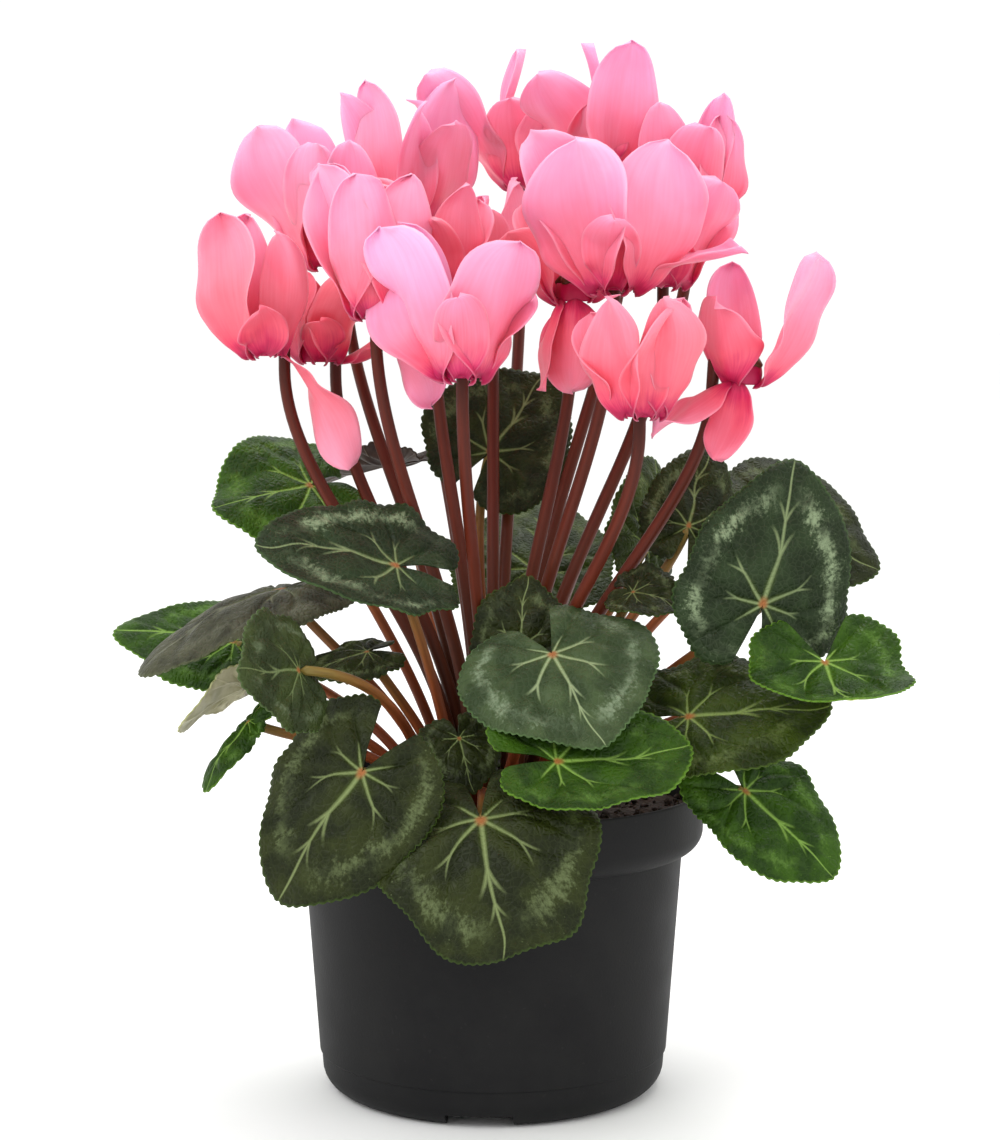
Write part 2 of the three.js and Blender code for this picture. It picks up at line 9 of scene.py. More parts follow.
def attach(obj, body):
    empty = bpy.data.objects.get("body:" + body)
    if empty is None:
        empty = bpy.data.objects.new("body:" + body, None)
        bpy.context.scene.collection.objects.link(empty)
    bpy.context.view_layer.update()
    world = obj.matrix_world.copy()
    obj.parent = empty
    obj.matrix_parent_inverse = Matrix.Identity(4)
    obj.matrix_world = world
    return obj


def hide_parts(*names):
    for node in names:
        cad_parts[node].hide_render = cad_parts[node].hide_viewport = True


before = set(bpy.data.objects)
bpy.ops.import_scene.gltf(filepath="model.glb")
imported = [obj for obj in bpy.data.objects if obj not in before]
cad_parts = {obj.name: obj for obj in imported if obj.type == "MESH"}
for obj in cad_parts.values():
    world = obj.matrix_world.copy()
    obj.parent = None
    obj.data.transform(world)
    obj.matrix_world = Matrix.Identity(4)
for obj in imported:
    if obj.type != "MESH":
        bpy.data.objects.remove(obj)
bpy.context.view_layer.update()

MM = 0.001  # a millimetre in the scene's metres

# ---- tables of the plant ----------------------------------------------------------------------------

POT = dict(rim_radius=60, height=86.4, band_bottom=75, rim_foot=68.9, neck_radius=54.1, base_radius=49.5,
           base_corner=7, step_height=10.5, step_depth=0.5, step_slope=0.6, ring_inside=38.5, ring_draft=1,
           wall=1.2, lip=0.6, floor_rise=3.5, floor_top=4.7)
NOTCH = dict(count=3, width=18.5, height=3.7, azimuth=-94.6, middle=48, depth=24)
DRAIN = dict(count=6, radius=4, ring=26, middle=4, length=10)
COMPOST = dict(top=78.5, heap_radius=36, heap=0.4, gap=0.4, lump=1.4, lump_size=9)
CRUMBS = dict(count=620, ring=(29, 57), size=(0.5, 1.7))
TUBER = dict(radius=28, half_height=14, middle=72, gap=0.3, bark_depth=0.5, bark_size=7)
ROUND_STEPS = dict(pot=144, compost=120, tuber=72)
ROOT_DEPTH = 1.5  # of a stem's foot in the tuber
BLADE_THICKNESS = 0.45
LOBE_LENGTH = 0.56  # of the blade's length, from the junction to the back of a lobe
SINUS = 12  # half the usual angle of the gap between the lobes, in degrees
PETIOLE = dict(foot=1.65, taper=0.35, stop=0.16)
STALK = dict(foot=1.95, taper=0.35, hook_radius=4, clear=8, root_share=0.16, root_least=3)
STEM_SIDES = 14
THROAT_HEIGHT = 5
CALYX = dict(radius=5.2, bottom=5.3, top=8.6)
PETAL = dict(foot=4.7, flare=2.4, broadest=0.62, fullness=1.06, thickness=0.28, map_length=40)

# Each leaf: its junction, its tip, the way its upper face looks, half its width over its length, how far
# the tip and the sides bend down in degrees, the height of its waves, half the gap between its lobes where
# it isn't the usual one, the azimuth and the distance from the axis at which its petiole leaves the tuber,
# the point that draws the petiole aside, and its look.
LEAVES = {
    "front_left_low": dict(
        at=(-34, -67, 102), tip=(-55, -70, 68), face=(-0.2, -0.9, 0.28),
        width=0.64, curl=20, roll=20, sinus=20, root=(-118, 20), look="marbled"),
    "front_centre_low": dict(
        at=(-3, -70, 90), tip=(3, -80, 52), face=(-0.1, -0.85, 0.5),
        width=0.8, curl=70, roll=30, wave=1.6, root=(-97, 20), look="marbled"),
    "front_centre": dict(
        at=(16, -44, 130), tip=(29, -62, 107), face=(0.1, -0.85, 0.5),
        width=0.94, curl=18, roll=16, sinus=22, root=(-80, 15), look="grey_green"),
    "front_right_low": dict(
        at=(17, -60, 103.5), tip=(54, -55, 107), face=(-0.1, -0.6, 0.8),
        width=0.64, curl=-14, roll=-22, root=(-66, 20), look="bright"),
    "right_low": dict(
        at=(53, -38, 112), tip=(92, -41, 115), face=(0.1, -0.66, 0.75),
        width=0.6, curl=10, roll=6, root=(-46, 20), look="olive"),
    "right_upright": dict(
        at=(73, -37.5, 142.5), tip=(83, -27, 181.5), face=(0.22, -0.94, 0.3),
        width=0.64, curl=24, roll=16, root=(-14, 20), by=(66, -12, 130), look="silvered"),
    "right_twin_lobed": dict(
        at=(89, -45, 128), tip=(94, -74, 123), face=(0, -0.2, 0.97),
        width=0.78, curl=-60, roll=-10, sinus=32, root=(-2, 20), by=(104, 0, 110), look="bright"),
    "right_hanging": dict(
        at=(69, -34, 91), tip=(93, -43, 67), face=(0.2, -0.75, 0.6),
        width=0.56, curl=12, roll=10, sinus=18, root=(-30, 20), look="bright"),
    "right_back_high": dict(
        at=(81, 26, 161), tip=(113, 28, 146), face=(0.2, -0.7, 0.7),
        width=0.8, curl=16, roll=10, root=(26, 18), look="marbled"),
    "back_right_small": dict(
        at=(56, 8, 160), tip=(62, 20, 182), face=(0.2, -0.8, 0.5),
        width=0.62, curl=14, roll=16, root=(4, 13), look="marbled"),
    "centre_right_small": dict(
        at=(38.5, -24, 144.5), tip=(51.5, -29, 141), face=(-0.2, -0.5, 0.85),
        width=0.8, curl=16, roll=-20, root=(-36, 14), look="marbled"),
    "back_centre_high": dict(
        at=(-1, 30, 180), tip=(17, 41, 203), face=(0.1, -0.85, 0.5),
        width=0.8, curl=20, roll=-10, root=(94, 13), look="marbled"),
    "left_large": dict(
        at=(-26, -35, 153), tip=(-64, -46, 161), face=(-0.05, -0.62, 0.8),
        width=0.58, curl=6, roll=-14, root=(-135, 14), look="silvered"),
    "left_back_wavy": dict(
        at=(-53, 20, 171), tip=(-80, 6, 163), face=(-0.2, -0.8, 0.6),
        width=0.85, curl=20, roll=10, wave=2.2, root=(150, 14), look="bright"),
    "back_left_folded": dict(
        at=(-30, 42, 176), tip=(-53, 50, 169), face=(-0.1, 0.2, 1),
        width=0.6, curl=10, roll=-50, root=(124, 14), look="bronze"),
    "left_outer": dict(
        at=(-76, 22, 125), tip=(-112, 26, 127), face=(-0.1, -0.6, 0.8),
        width=0.56, curl=14, roll=18, root=(164, 20), look="bright"),
    "left_drooping": dict(
        at=(-60, 0, 143), tip=(-97, -20, 121), face=(-0.3, -0.2, 0.9),
        width=0.46, curl=40, roll=46, root=(-178, 15), look="mauve"),
    "left_front_oval": dict(
        at=(-50, -69, 129), tip=(-64, -88, 131), face=(0.7, -0.5, 0.35),
        width=0.78, curl=16, roll=12, root=(-142, 20), by=(-30, -54, 126), look="dull_green"),
    "left_pale": dict(
        at=(-70, -6, 116), tip=(-87, -24, 107), face=(-0.5, 0.5, 0.7),
        width=0.5, curl=10, roll=-30, root=(-176, 20), look="pale"),
    "left_curled_small": dict(
        at=(-68, -20, 108), tip=(-80, -30, 90), face=(-0.7, -0.5, 0.4),
        width=0.36, curl=24, roll=60, root=(-158, 20), look="bright"),
    "left_inner_dark": dict(
        at=(-35, -16, 127), tip=(-52, -22, 120), face=(0, -0.4, 0.9),
        width=0.6, curl=20, roll=30, root=(-160, 13), look="marbled"),
    "back_right_tall": dict(
        at=(46, 38, 152), tip=(50, 58, 176), face=(0.2, 0.6, 0.8),
        width=0.6, curl=20, roll=20, root=(44, 18), look="olive"),
    "back_centre": dict(
        at=(12, 55, 143), tip=(15, 88, 162), face=(0, -0.5, 0.86),
        width=0.74, curl=18, roll=14, root=(76, 20), look="olive"),
    "centre_dark": dict(
        at=(7.5, -31, 130), tip=(9, -24, 149), face=(0, -0.8, 0.6),
        width=0.76, curl=20, roll=14, root=(-68, 14), look="marbled"),
    "front_inner_dark": dict(
        at=(-9, -43, 107), tip=(-5, -49, 93), face=(0.1, -0.7, 0.7),
        width=0.8, curl=16, roll=14, root=(-106, 17), look="marbled"),
}

# Each flower: its mouth, the lean of its axis, the azimuth of its hooked stalk, its tone from coral at 0
# to lilac pink at 1, partly its own colour and partly painted light, lilac pink where light falls and coral
# where shade falls, and its petals, each with the azimuth of its foot, its lean, length and width, and
# the azimuth that its broad part faces.
FLOWERS = {
    "front_centre": dict(
        mouth=(-8, -50, 204), hook=90, tone=0.7,
        petals=((200, 25, 42, 26, 270), (145, 20, 43, 22, 250), (335, 20, 37, 29, 280),
                (268, 26, 25, 14, 268), (35, 30, 32, 18, 290))),
    "right_front_high": dict(
        mouth=(33, -34, 227), hook=90, tone=0.65,
        petals=((152, 25, 44, 26, 263), (215, 13, 41, 29, 273), (325, 18, 40, 27, 270),
                (263, 31, 25, 15, 275), (20, 62, 32, 15, 328))),
    "front_right": dict(
        mouth=(39, -54, 194), hook=90, tone=0.3,
        petals=((162, 20, 29, 16, 263), (227, 8, 32, 19, 229), (277, 5, 30, 15, 330),
                (325, 11, 32, 18, 245), (15, 15, 32, 23, 285))),
    "left_outer": dict(
        mouth=(-63, -10, 209), hook=55, tone=0.3,
        petals=((205, 12, 40, 21, 275), (150, 8, 40, 18, 250), (325, 3, 34, 13, 260),
                (268, 34, 18, 13, 275), (5, 145, 36, 15, 300))),
    "left_front": dict(
        mouth=(-32, -28, 220), hook=90, tone=0.65,
        petals=((195, 16, 42, 24, 267), (151, 14, 43, 18, 252), (262, 11, 38, 18, 299),
                (330, 14, 38, 20, 280), (21, 154, 28, 14, 302))),
    "left_high": dict(
        mouth=(-47, 24, 234), hook=60, tone=0.6,
        petals=((190, 21, 43, 24, 268), (130, 11, 43, 22, 248), (244, 13, 36, 19, 292),
                (310, 7, 36, 17, 273), (1, 30, 28, 16, 282))),
    "left_inner": dict(
        mouth=(-49, 4.6, 207), hook=60, tone=0.15,
        petals=((195, 8, 26, 14, 250), (140, 8, 26, 18, 270), (320, 18, 27, 20, 290),
                (275, 34, 16, 12, 270), (10, 60, 22, 16, 320))),
    "back_left_high": dict(
        mouth=(-23, 46, 247), hook=90, tone=0.65,
        petals=((152, 24, 42, 15, 247), (203, 16, 43, 20, 268), (263, 10, 36, 12, 303),
                (318, 22, 31, 19, 275), (30, 10, 43, 18, 283))),
    "centre_left": dict(
        mouth=(-17, -8, 226), hook=90, tone=0.35,
        petals=((155, 20, 34, 20, 255), (215, 24, 31, 22, 265), (270, 20, 24, 16, 275),
                (325, 16, 31, 16, 290), (25, 20, 28, 17, 280))),
    "centre": dict(
        mouth=(0, 20, 222), hook=90, tone=0.4,
        petals=((158, 10, 34, 15, 260), (205, 8, 32, 15, 230), (270, 6, 28, 15, 270),
                (330, 12, 36, 15, 320), (20, 8, 38, 14, 300))),
    "back_centre_high": dict(
        mouth=(9, 60, 258), hook=90, tone=0.75,
        petals=((140, 2, 42, 9, 200), (190, 34, 42, 18, 260), (250, 12, 27, 20, 265),
                (315, 20, 32, 21, 280), (25, 10, 34, 18, 270))),
    "back_right_high": dict(
        mouth=(32, 32, 261), hook=0, tone=0.75,
        petals=((70, 2, 38, 7, 200), (130, 20, 30, 15, 250), (200, 28, 33, 24, 265),
                (250, 16, 20, 17, 280), (300, 16, 38, 20, 270))),
    "right_back_high": dict(
        mouth=(57, 18, 247), hook=90, tone=0.7,
        petals=((160, 13, 34, 16, 249), (216, 13, 34, 17, 268), (275, 18, 28, 16, 300),
                (325, 16, 30, 16, 290), (20, 7, 36, 14, 269))),
    "right_high": dict(
        mouth=(48, -4, 228), hook=90, tone=0.6,
        petals=((160, 13, 30, 14, 247), (212, 13, 22, 13, 250), (277, 32, 18, 13, 280),
                (324, 24, 32, 22, 288), (24, 17, 34, 19, 285))),
    "right_outer": dict(
        mouth=(68, -24, 202), lean=(0.05, -0.1), hook=180, tone=0.6,
        petals=((115, 14, 33, 14, 250), (335, 17, 40, 19, 285), (234, 30, 25, 18, 255),
                (218, 112, 29, 12, 200), (252, 160, 22, 12, 280))),
    "centre_right": dict(
        mouth=(23, -8, 224), hook=90, tone=0.3,
        petals=((190, 32, 24, 24, 250), (148, 20, 28, 18, 260), (266, 158, 27, 20, 272),
                (334, 12, 20, 13, 280), (216, 150, 27, 8, 290))),
}

# ---- materials --------------------------------------------------------------------------------------


def colour(hex_code):
    """An sRGB hex value as the linear colour that shaders take."""
    channels = [int(hex_code[i : i + 2], 16) / 255 for i in (1, 3, 5)]
    return [c / 12.92 if c <= 0.04045 else ((c + 0.055) / 1.055) ** 2.4 for c in channels] + [1]


SMOOTH = {"interpolation_type": "SMOOTHSTEP"}


def add_node(tree, kind, settings={}, links={}):
    """Adds a shader node, sets its properties, sockets and ramp stops, and links sources to its inputs, a
    lone source to the first. The kind of a calculating node ends with a dot and what it calculates."""
    kind, _, operation = kind.partition(".")
    node = tree.nodes.new("ShaderNode" + kind)
    if operation:
        node.operation = operation
    for key, value in settings.items():
        if key == "stops":
            stops = node.color_ramp.elements
            stops.remove(stops[1])
            stops[0].position, stops[0].color = value[0][0], colour(value[0][1])
            for position, hex_code in value[1:]:
                stops.new(position).color = colour(hex_code)
        elif isinstance(key, str) and hasattr(node, key):
            setattr(node, key, value)
        else:
            node.inputs[key].default_value = value
    for key, source in (links if isinstance(links, dict) else {0: links}).items():
        tree.links.new(source.outputs[0] if hasattr(source, "outputs") else source, node.inputs[key])
    return node


def new_material(name, **shader_settings):
    """A material with only an output and a shader, and shortcuts that add nodes and feed the shader."""
    material = bpy.data.materials.new(name)
    material.use_nodes = True
    tree = material.node_tree
    tree.nodes.clear()

    def node(kind, settings={}, links={}):
        return add_node(tree, kind, settings, links)

    def feed(socket, source):
        tree.links.new(source.outputs[0], shader.inputs[socket])

    shader = node("BsdfPrincipled", shader_settings)
    node("OutputMaterial", {}, {"Surface": shader})
    return material, node, feed


# Veins of a blade: the angle at which each leaves the midrib at the junction, the share of the blade at
# which it forks, how far its two branches part, and the share at which it fades from sight. The midrib's
# own side veins are forks at angle 0.
VEINS = ((0, 9, 0, 1.1), (0, 0.34, 0.8, 0.56), (0, 0.56, 0.6, 0.74), (0.86, 0.36, 0.7, 0.56),
         (1.62, 0.3, 0.7, 0.46), (2.35, 9, 0, 0.4))


def polar_map(node):
    """Share of the way to the margin, turn round the junction, and angle from the midrib."""
    polar = node("SeparateXYZ", {}, node("UVMap", {"uv_map": "veins"}))
    off = node("Math.SUBTRACT", {1: 0.5}, polar.outputs[1])
    off = node("Math.ABSOLUTE", {}, off)
    return polar.outputs[0], polar.outputs[1], node("Math.MULTIPLY", {1: 2 * math.pi}, off)


def vein_distance(share, angle):
    """Distance from the nearest vein, as a share of the blade's length."""
    return share * min(
        abs(abs(abs(angle) - start) - spread * max(0, share - fork)) for start, fork, spread, _ in VEINS
    )


def leaf_upper(name, base, light, silver, silvering, vein, veining, margin, young="#46561F"):
    """Waxy upper face of a cyclamen leaf, grown, not made: satin gloss over mottled green, a feathery
    silver horseshoe inside the margin, pale forked veins that fade outwards, and a light toothed edge."""
    material, node, feed = new_material(name, **{"IOR": 1.45, "Specular IOR Level": 0.17})
    share, turn, angle = polar_map(node)
    blade = node("UVMap", {"uv_map": "blade"})
    tone = node("SeparateXYZ", {}, node("UVMap", {"uv_map": "tone"}))

    # The blade's own map runs in decimetres: 9 mm blotches, 3 mm mottling, 0.9 mm feathering and 1.6 mm
    # areoles between the veins. The silver is drawn in strokes about 1 mm wide and 5 mm long that point
    # away from the junction.
    blotch = node("TexNoise", {"Scale": 11, "Detail": 2}, {"Vector": blade})
    mottle = node("TexNoise", {"Scale": 34, "Detail": 3, "Roughness": 0.6}, {"Vector": blade})
    feather = node("TexNoise", {"Scale": 110, "Detail": 3, "Roughness": 0.7}, {"Vector": blade})
    areole = node("TexVoronoi", {"feature": "DISTANCE_TO_EDGE", "Scale": 62}, {"Vector": blade})
    strokes = node("CombineXYZ", {}, {
        0: node("Math.MULTIPLY", {1: 8}, share),
        1: node("Math.MULTIPLY", {1: 120}, turn),
        2: node("Math.MULTIPLY", {1: 50}, tone.outputs[0]),
    })
    strokes = node("TexNoise", {"Scale": 1, "Detail": 3, "Roughness": 0.65}, {"Vector": strokes})
    shade = node("MapRange", {**SMOOTH, 1: 0.36, 2: 0.66}, blotch)
    body = node("MixRGB", {1: colour(base), 2: colour(light)}, shade)
    net = node("MapRange", {**SMOOTH, 1: 0, 2: 0.1, 3: 0.05, 4: 0}, areole)
    body = node("MixRGB", {2: colour(silver)}, {0: net, 1: body})

    # The silver: 3 to 6 mm wide, its middle about three quarters of the way out, ragged and interrupted.
    band = node("Math.MULTIPLY_ADD", {1: -0.24, 2: 0.12 - 0.76}, mottle)
    band = node("Math.ADD", {}, {0: share, 1: band})
    band = node("Math.ABSOLUTE", {}, band)
    band = node("Math.MULTIPLY_ADD", {1: 0.26}, {0: strokes, 2: band})
    band = node("Math.MULTIPLY_ADD", {1: 0.3}, {0: feather, 2: band})
    band = node("MapRange", {**SMOOTH, 1: 0.24, 2: 0.4, 3: 1, 4: 0}, band)
    stretch = node("MapRange", {**SMOOTH, 1: 0.38, 2: 0.6, 3: 0.15, 4: 1}, blotch)
    sides = node("MapRange", {**SMOOTH, 1: 0.02, 2: 0.3}, angle)
    lobes = node("MapRange", {**SMOOTH, 1: 1.9, 2: 2.5, 3: 1, 4: 0.25}, angle)
    for part in (stretch, sides, lobes):
        band = node("Math.MULTIPLY", {}, {0: band, 1: part})
    band = node("Math.MULTIPLY", {1: silvering}, band)
    body = node("MixRGB", {2: colour(silver)}, {0: band, 1: body})

    # Each vein tapers from 0.7 mm at the junction and fades at its own share of the blade.
    width = node("MapRange", {1: 0, 2: 1, 3: 0.022, 4: 0.007}, share)
    frayed = node("Math.MULTIPLY_ADD", {1: 0.16, 2: -0.08}, mottle)
    frayed = node("Math.ADD", {}, {0: share, 1: frayed})
    veins, glow = None, None
    for start, fork, spread, end in VEINS:
        off = node("Math.SUBTRACT", {1: start}, angle)
        off = node("Math.ABSOLUTE", {}, off)
        past = node("Math.SUBTRACT", {"use_clamp": True, 1: fork}, share)
        past = node("Math.MULTIPLY", {1: spread}, past)
        off = node("Math.SUBTRACT", {}, {0: off, 1: past})
        off = node("Math.ABSOLUTE", {}, off)
        off = node("Math.MULTIPLY", {}, {0: off, 1: share})
        line = node("Math.DIVIDE", {"use_clamp": True}, {0: off, 1: width})
        line = node("Math.SUBTRACT", {"use_clamp": True, 0: 1.0}, {1: line})
        fade = node("MapRange", {**SMOOTH, 1: end - 0.2, 2: end, 3: 1, 4: 0}, frayed)
        line = node("Math.MULTIPLY", {}, {0: line, 1: fade})
        veins = node("Math.MAXIMUM", {}, {0: veins, 1: line}) if veins else line
        glow = node("Math.MINIMUM", {}, {0: glow, 1: off}) if glow else off
    inner = node("MapRange", {**SMOOTH, 1: 0.06, 2: 0.4, 3: 0.7, 4: 0}, frayed)
    glow = node("MapRange", {**SMOOTH, 1: 0, 2: 0.045, 3: 1, 4: 0}, glow)
    glow = node("Math.MULTIPLY", {}, {0: glow, 1: inner})
    body = node("MixRGB", {2: colour(young)}, {0: glow, 1: body})
    veins = node("Math.POWER", {1: 0.7}, veins)
    veins = node("Math.MULTIPLY", {1: veining}, veins)
    body = node("MixRGB", {2: colour(vein)}, {0: veins, 1: body})

    # Pale flecks 0.4 mm across lie scattered over the outer half, and the teeth have light tips.
    fleck = node("TexVoronoi", {"Scale": 55}, {"Vector": blade})
    fleck = node("MapRange", {1: 0.1, 2: 0.16, 3: 0.8, 4: 0}, fleck)
    outer = node("MapRange", {**SMOOTH, 1: 0.45, 2: 0.95, 4: 0.8}, frayed)
    sparse = node("MapRange", {**SMOOTH, 1: 0.5, 2: 0.62}, feather)
    for part in (outer, sparse):
        fleck = node("Math.MULTIPLY", {}, {0: fleck, 1: part})
    body = node("MixRGB", {2: colour(silver)}, {0: fleck, 1: body})
    edge = node("MapRange", {**SMOOTH, 1: 0.972, 2: 1, 4: 0.75}, share)
    body = node("MixRGB", {2: colour(margin)}, {0: edge, 1: body})
    heart = node("MapRange", {**SMOOTH, 1: 0.015, 2: 0.075, 3: 0.9, 4: 0}, share)
    body = node("MixRGB", {2: colour("#9A5A30")}, {0: heart, 1: body})
    feed("Base Color", body)

    rough = node("MapRange", {1: 0.3, 2: 0.7, 3: 0.36, 4: 0.52}, mottle)
    feed("Roughness", rough)
    relief = node("MapRange", {**SMOOTH, 1: 0, 2: 0.3}, areole)
    relief = node("Math.MULTIPLY_ADD", {1: 0.5}, {0: mottle, 2: relief})
    bump = node("Bump", {"Strength": 0.6, "Distance": 0.0003}, {"Height": relief})
    feed("Normal", bump)
    return material


def leaf_under(name, base, light, vein):
    """Underside of a cyclamen leaf: paler and duller than the top, with raised veins and no silver."""
    material, node, feed = new_material(
        name, **{"IOR": 1.42, "Roughness": 0.6, "Sheen Weight": 0.15, "Sheen Roughness": 0.5})
    share, _, angle = polar_map(node)
    blade = node("UVMap", {"uv_map": "blade"})
    ribs = node("Math.PINGPONG", {1: 0.325}, angle)
    ribs = node("Math.MULTIPLY", {}, {0: ribs, 1: share})
    ribs = node("MapRange", {**SMOOTH, 1: 0, 2: 0.022, 3: 1, 4: 0}, ribs)
    mottle = node("TexNoise", {"Scale": 22, "Detail": 4}, {"Vector": blade})
    shade = node("MapRange", {1: 0.35, 2: 0.65}, mottle)
    body = node("MixRGB", {1: colour(base), 2: colour(light)}, shade)
    lit = node("Math.MULTIPLY", {1: 0.7}, ribs)
    body = node("MixRGB", {2: colour(vein)}, {0: lit, 1: body})
    feed("Base Color", body)
    height = node("Math.ADD", {}, {0: ribs, 1: mottle})
    bump = node("Bump", {"Strength": 0.6, "Distance": 0.0004}, {"Height": height})
    feed("Normal", bump)
    return material


# Each look: the upper face's base and light green, its silver and how much of it there is, its veins and
# how clear they are, its margin, and at times its young tissue beside the veins; then the underside's base,
# light green and veins.
LEAF_LOOKS = {
    "marbled": (("#171D06", "#282F0D", "#64704A", 0.75, "#83915E", 0.8, "#3E5220"),
                ("#4C5820", "#687630", "#8A924C")),
    "olive": (("#1D2905", "#31400B", "#667444", 0.55, "#869A56", 0.8, "#4A6220"),
              ("#56641E", "#74842E", "#929C4A")),
    "silvered": (("#1A2611", "#27361D", "#869674", 0.95, "#8A9A6C", 0.8, "#425A30"),
                 ("#4C5820", "#687630", "#8A924C")),
    "bright": (("#1B3404", "#2F4E09", "#668A3C", 0.45, "#88AC50", 0.8, "#628A2A", "#52721F"),
               ("#748A1E", "#9CB236", "#B8C660")),
    "grey_green": (("#2C3B20", "#405030", "#7C8C70", 0.85, "#9AAA7E", 0.85, "#5A7648"),
                   ("#56622C", "#74803E", "#969E5A")),
    "dull_green": (("#242E12", "#36421E", "#68755A", 0.6, "#7C8C5C", 0.7, "#4C6034"),
                   ("#56622C", "#74803E", "#969E5A")),
    "mauve": (("#323326", "#4C4D39", "#6E7060", 0.5, "#808468", 0.6, "#5A6044"),
              ("#605E48", "#7C785C", "#949070")),
    "bronze": (("#211510", "#382A22", "#4E483C", 0.4, "#5C6830", 0.5, "#3C3120"),
               ("#32221C", "#4C3A30", "#6A5A48")),
    "pale": (("#66723E", "#84905C", "#A8AC86", 0.4, "#AEB280", 0.6, "#B4B484"),
             ("#9C9874", "#C0BC9C", "#CCC8A6")),
}
leaf_skins = {
    look: (leaf_upper(f"waxy_leaf_{look}", *upper), leaf_under(f"leaf_underside_{look}", *under))
    for look, (upper, under) in LEAF_LOOKS.items()
}


def petal_material():
    """Thin cyclamen petal, full of pale sap: satin, softly lit through, crimson at its foot, coral to lilac
    pink above, the lilac pink at the top partly painted light and the coral below partly painted shade,
    with fine streaks along it and a pale margin."""
    material, node, feed = new_material(
        "satin_petal", **{"IOR": 1.4, "Roughness": 0.5, "Sheen Weight": 0.1, "Sheen Roughness": 0.4,
                          "Subsurface Weight": 0.3, "Subsurface Radius": (1.0, 0.45, 0.5),
                          "Subsurface Scale": 0.002})
    run = node("SeparateXYZ", {}, node("UVMap", {"uv_map": "run"}))
    tone = node("SeparateXYZ", {}, node("UVMap", {"uv_map": "tone"}))
    across, along = run.outputs[0], run.outputs[1]
    # Streaks 0.6 mm wide and clouds 8 mm wide, both 10 mm long: the map counts one petal across, and 40 mm
    # along as 1.
    streak, cloud = (
        node("TexNoise", {"Scale": 1, "Detail": detail}, {"Vector": node("CombineXYZ", {}, {
            0: node("Math.MULTIPLY", {1: across_scale}, across),
            1: node("Math.MULTIPLY", {1: 4}, along),
            2: node("Math.MULTIPLY", {1: 50}, tone.outputs[1]),
        })})
        for across_scale, detail in ((26, 3), (2.5, 2))
    )
    place = node("Math.MULTIPLY_ADD", {1: 0.16, 2: -0.08}, streak)
    place = node("Math.ADD", {}, {0: place, 1: along})
    cloudy = node("Math.MULTIPLY_ADD", {1: 0.24, 2: -0.12}, cloud)
    place = node("Math.ADD", {}, {0: place, 1: cloudy})
    # Both ramps run from the crimson foot to the tip. Their coral and lilac pink are partly the petal's own
    # colour and partly painted light: lilac pink towards the lit top, coral where shade falls. The tone
    # picks between them.
    coral = node("ValToRGB", {"stops": ((0.1, "#A60A42"), (0.19, "#CC2452"), (0.32, "#EC5468"),
                                        (0.6, "#F67482"), (1.0, "#FC98AC"))}, place)
    lilac = node("ValToRGB", {"stops": ((0.1, "#A8084A"), (0.19, "#CC3066"), (0.32, "#EC6A84"),
                                        (0.52, "#F084A2"), (0.76, "#F49CC4"), (1.0, "#F5AED8"))}, place)
    body = node("MixRGB", {}, {0: tone.outputs[0], 1: coral, 2: lilac})
    dark = node("MapRange", {1: 0.3, 2: 0.7, 3: 0.05, 4: 0}, streak)
    body = node("MixRGB", {2: colour("#D8305F")}, {0: dark, 1: body})
    side = node("Math.MULTIPLY_ADD", {1: 2, 2: -1.0}, across)
    side = node("Math.ABSOLUTE", {}, side)
    rim = node("MapRange", {**SMOOTH, 1: 0.88, 2: 1, 4: 0.13}, side)
    body = node("MixRGB", {2: colour("#FFD3E4")}, {0: rim, 1: body})
    feed("Base Color", body)
    bump = node("Bump", {"Strength": 0.15, "Distance": 0.0003}, {"Height": streak})
    feed("Normal", bump)
    return material


def stem_material(name, foot, middle, top):
    """Fleshy stem with a thin smooth skin: satin, faintly streaked, coloured from foot to top."""
    material, node, feed = new_material(
        name, **{"IOR": 1.42, "Roughness": 0.42, "Specular IOR Level": 0.3, "Subsurface Weight": 0.1,
                 "Subsurface Radius": (1.0, 0.4, 0.2), "Subsurface Scale": 0.001})
    run = node("SeparateXYZ", {}, node("UVMap", {"uv_map": "run"}))
    # Streaks 1 mm wide that run about 20 mm along the stem, drawn on a circle so that they close round it.
    place = node("TexCoord").outputs["Object"]
    turn = node("Math.MULTIPLY", {1: 2 * math.pi}, run.outputs[0])
    streak = node("CombineXYZ", {}, {
        0: node("Math.MULTIPLY", {1: 1.6}, node("Math.COSINE", {}, turn)),
        1: node("Math.MULTIPLY", {1: 1.6}, node("Math.SINE", {}, turn)),
        2: node("Math.MULTIPLY", {1: 6}, run.outputs[1]),
    })
    streak = node("TexNoise", {"Scale": 1, "Detail": 3}, {"Vector": streak})
    blotch = node("TexNoise", {"Scale": 70, "Detail": 2}, {"Vector": place})
    height = node("Math.MULTIPLY_ADD", {1: 0.3, 2: -0.15}, blotch)
    height = node("Math.ADD", {}, {0: height, 1: run.outputs[1]})
    body = node("ValToRGB", {"stops": ((0.0, foot), (0.45, middle), (1.0, top))}, height)
    dark = node("MapRange", {1: 0.3, 2: 0.7, 3: 0.45, 4: 0}, streak)
    body = node("MixRGB", {2: colour("#2A100C")}, {0: dark, 1: body})
    feed("Base Color", body)
    bump = node("Bump", {"Strength": 0.3, "Distance": 0.0002}, {"Height": streak})
    feed("Normal", bump)
    return material


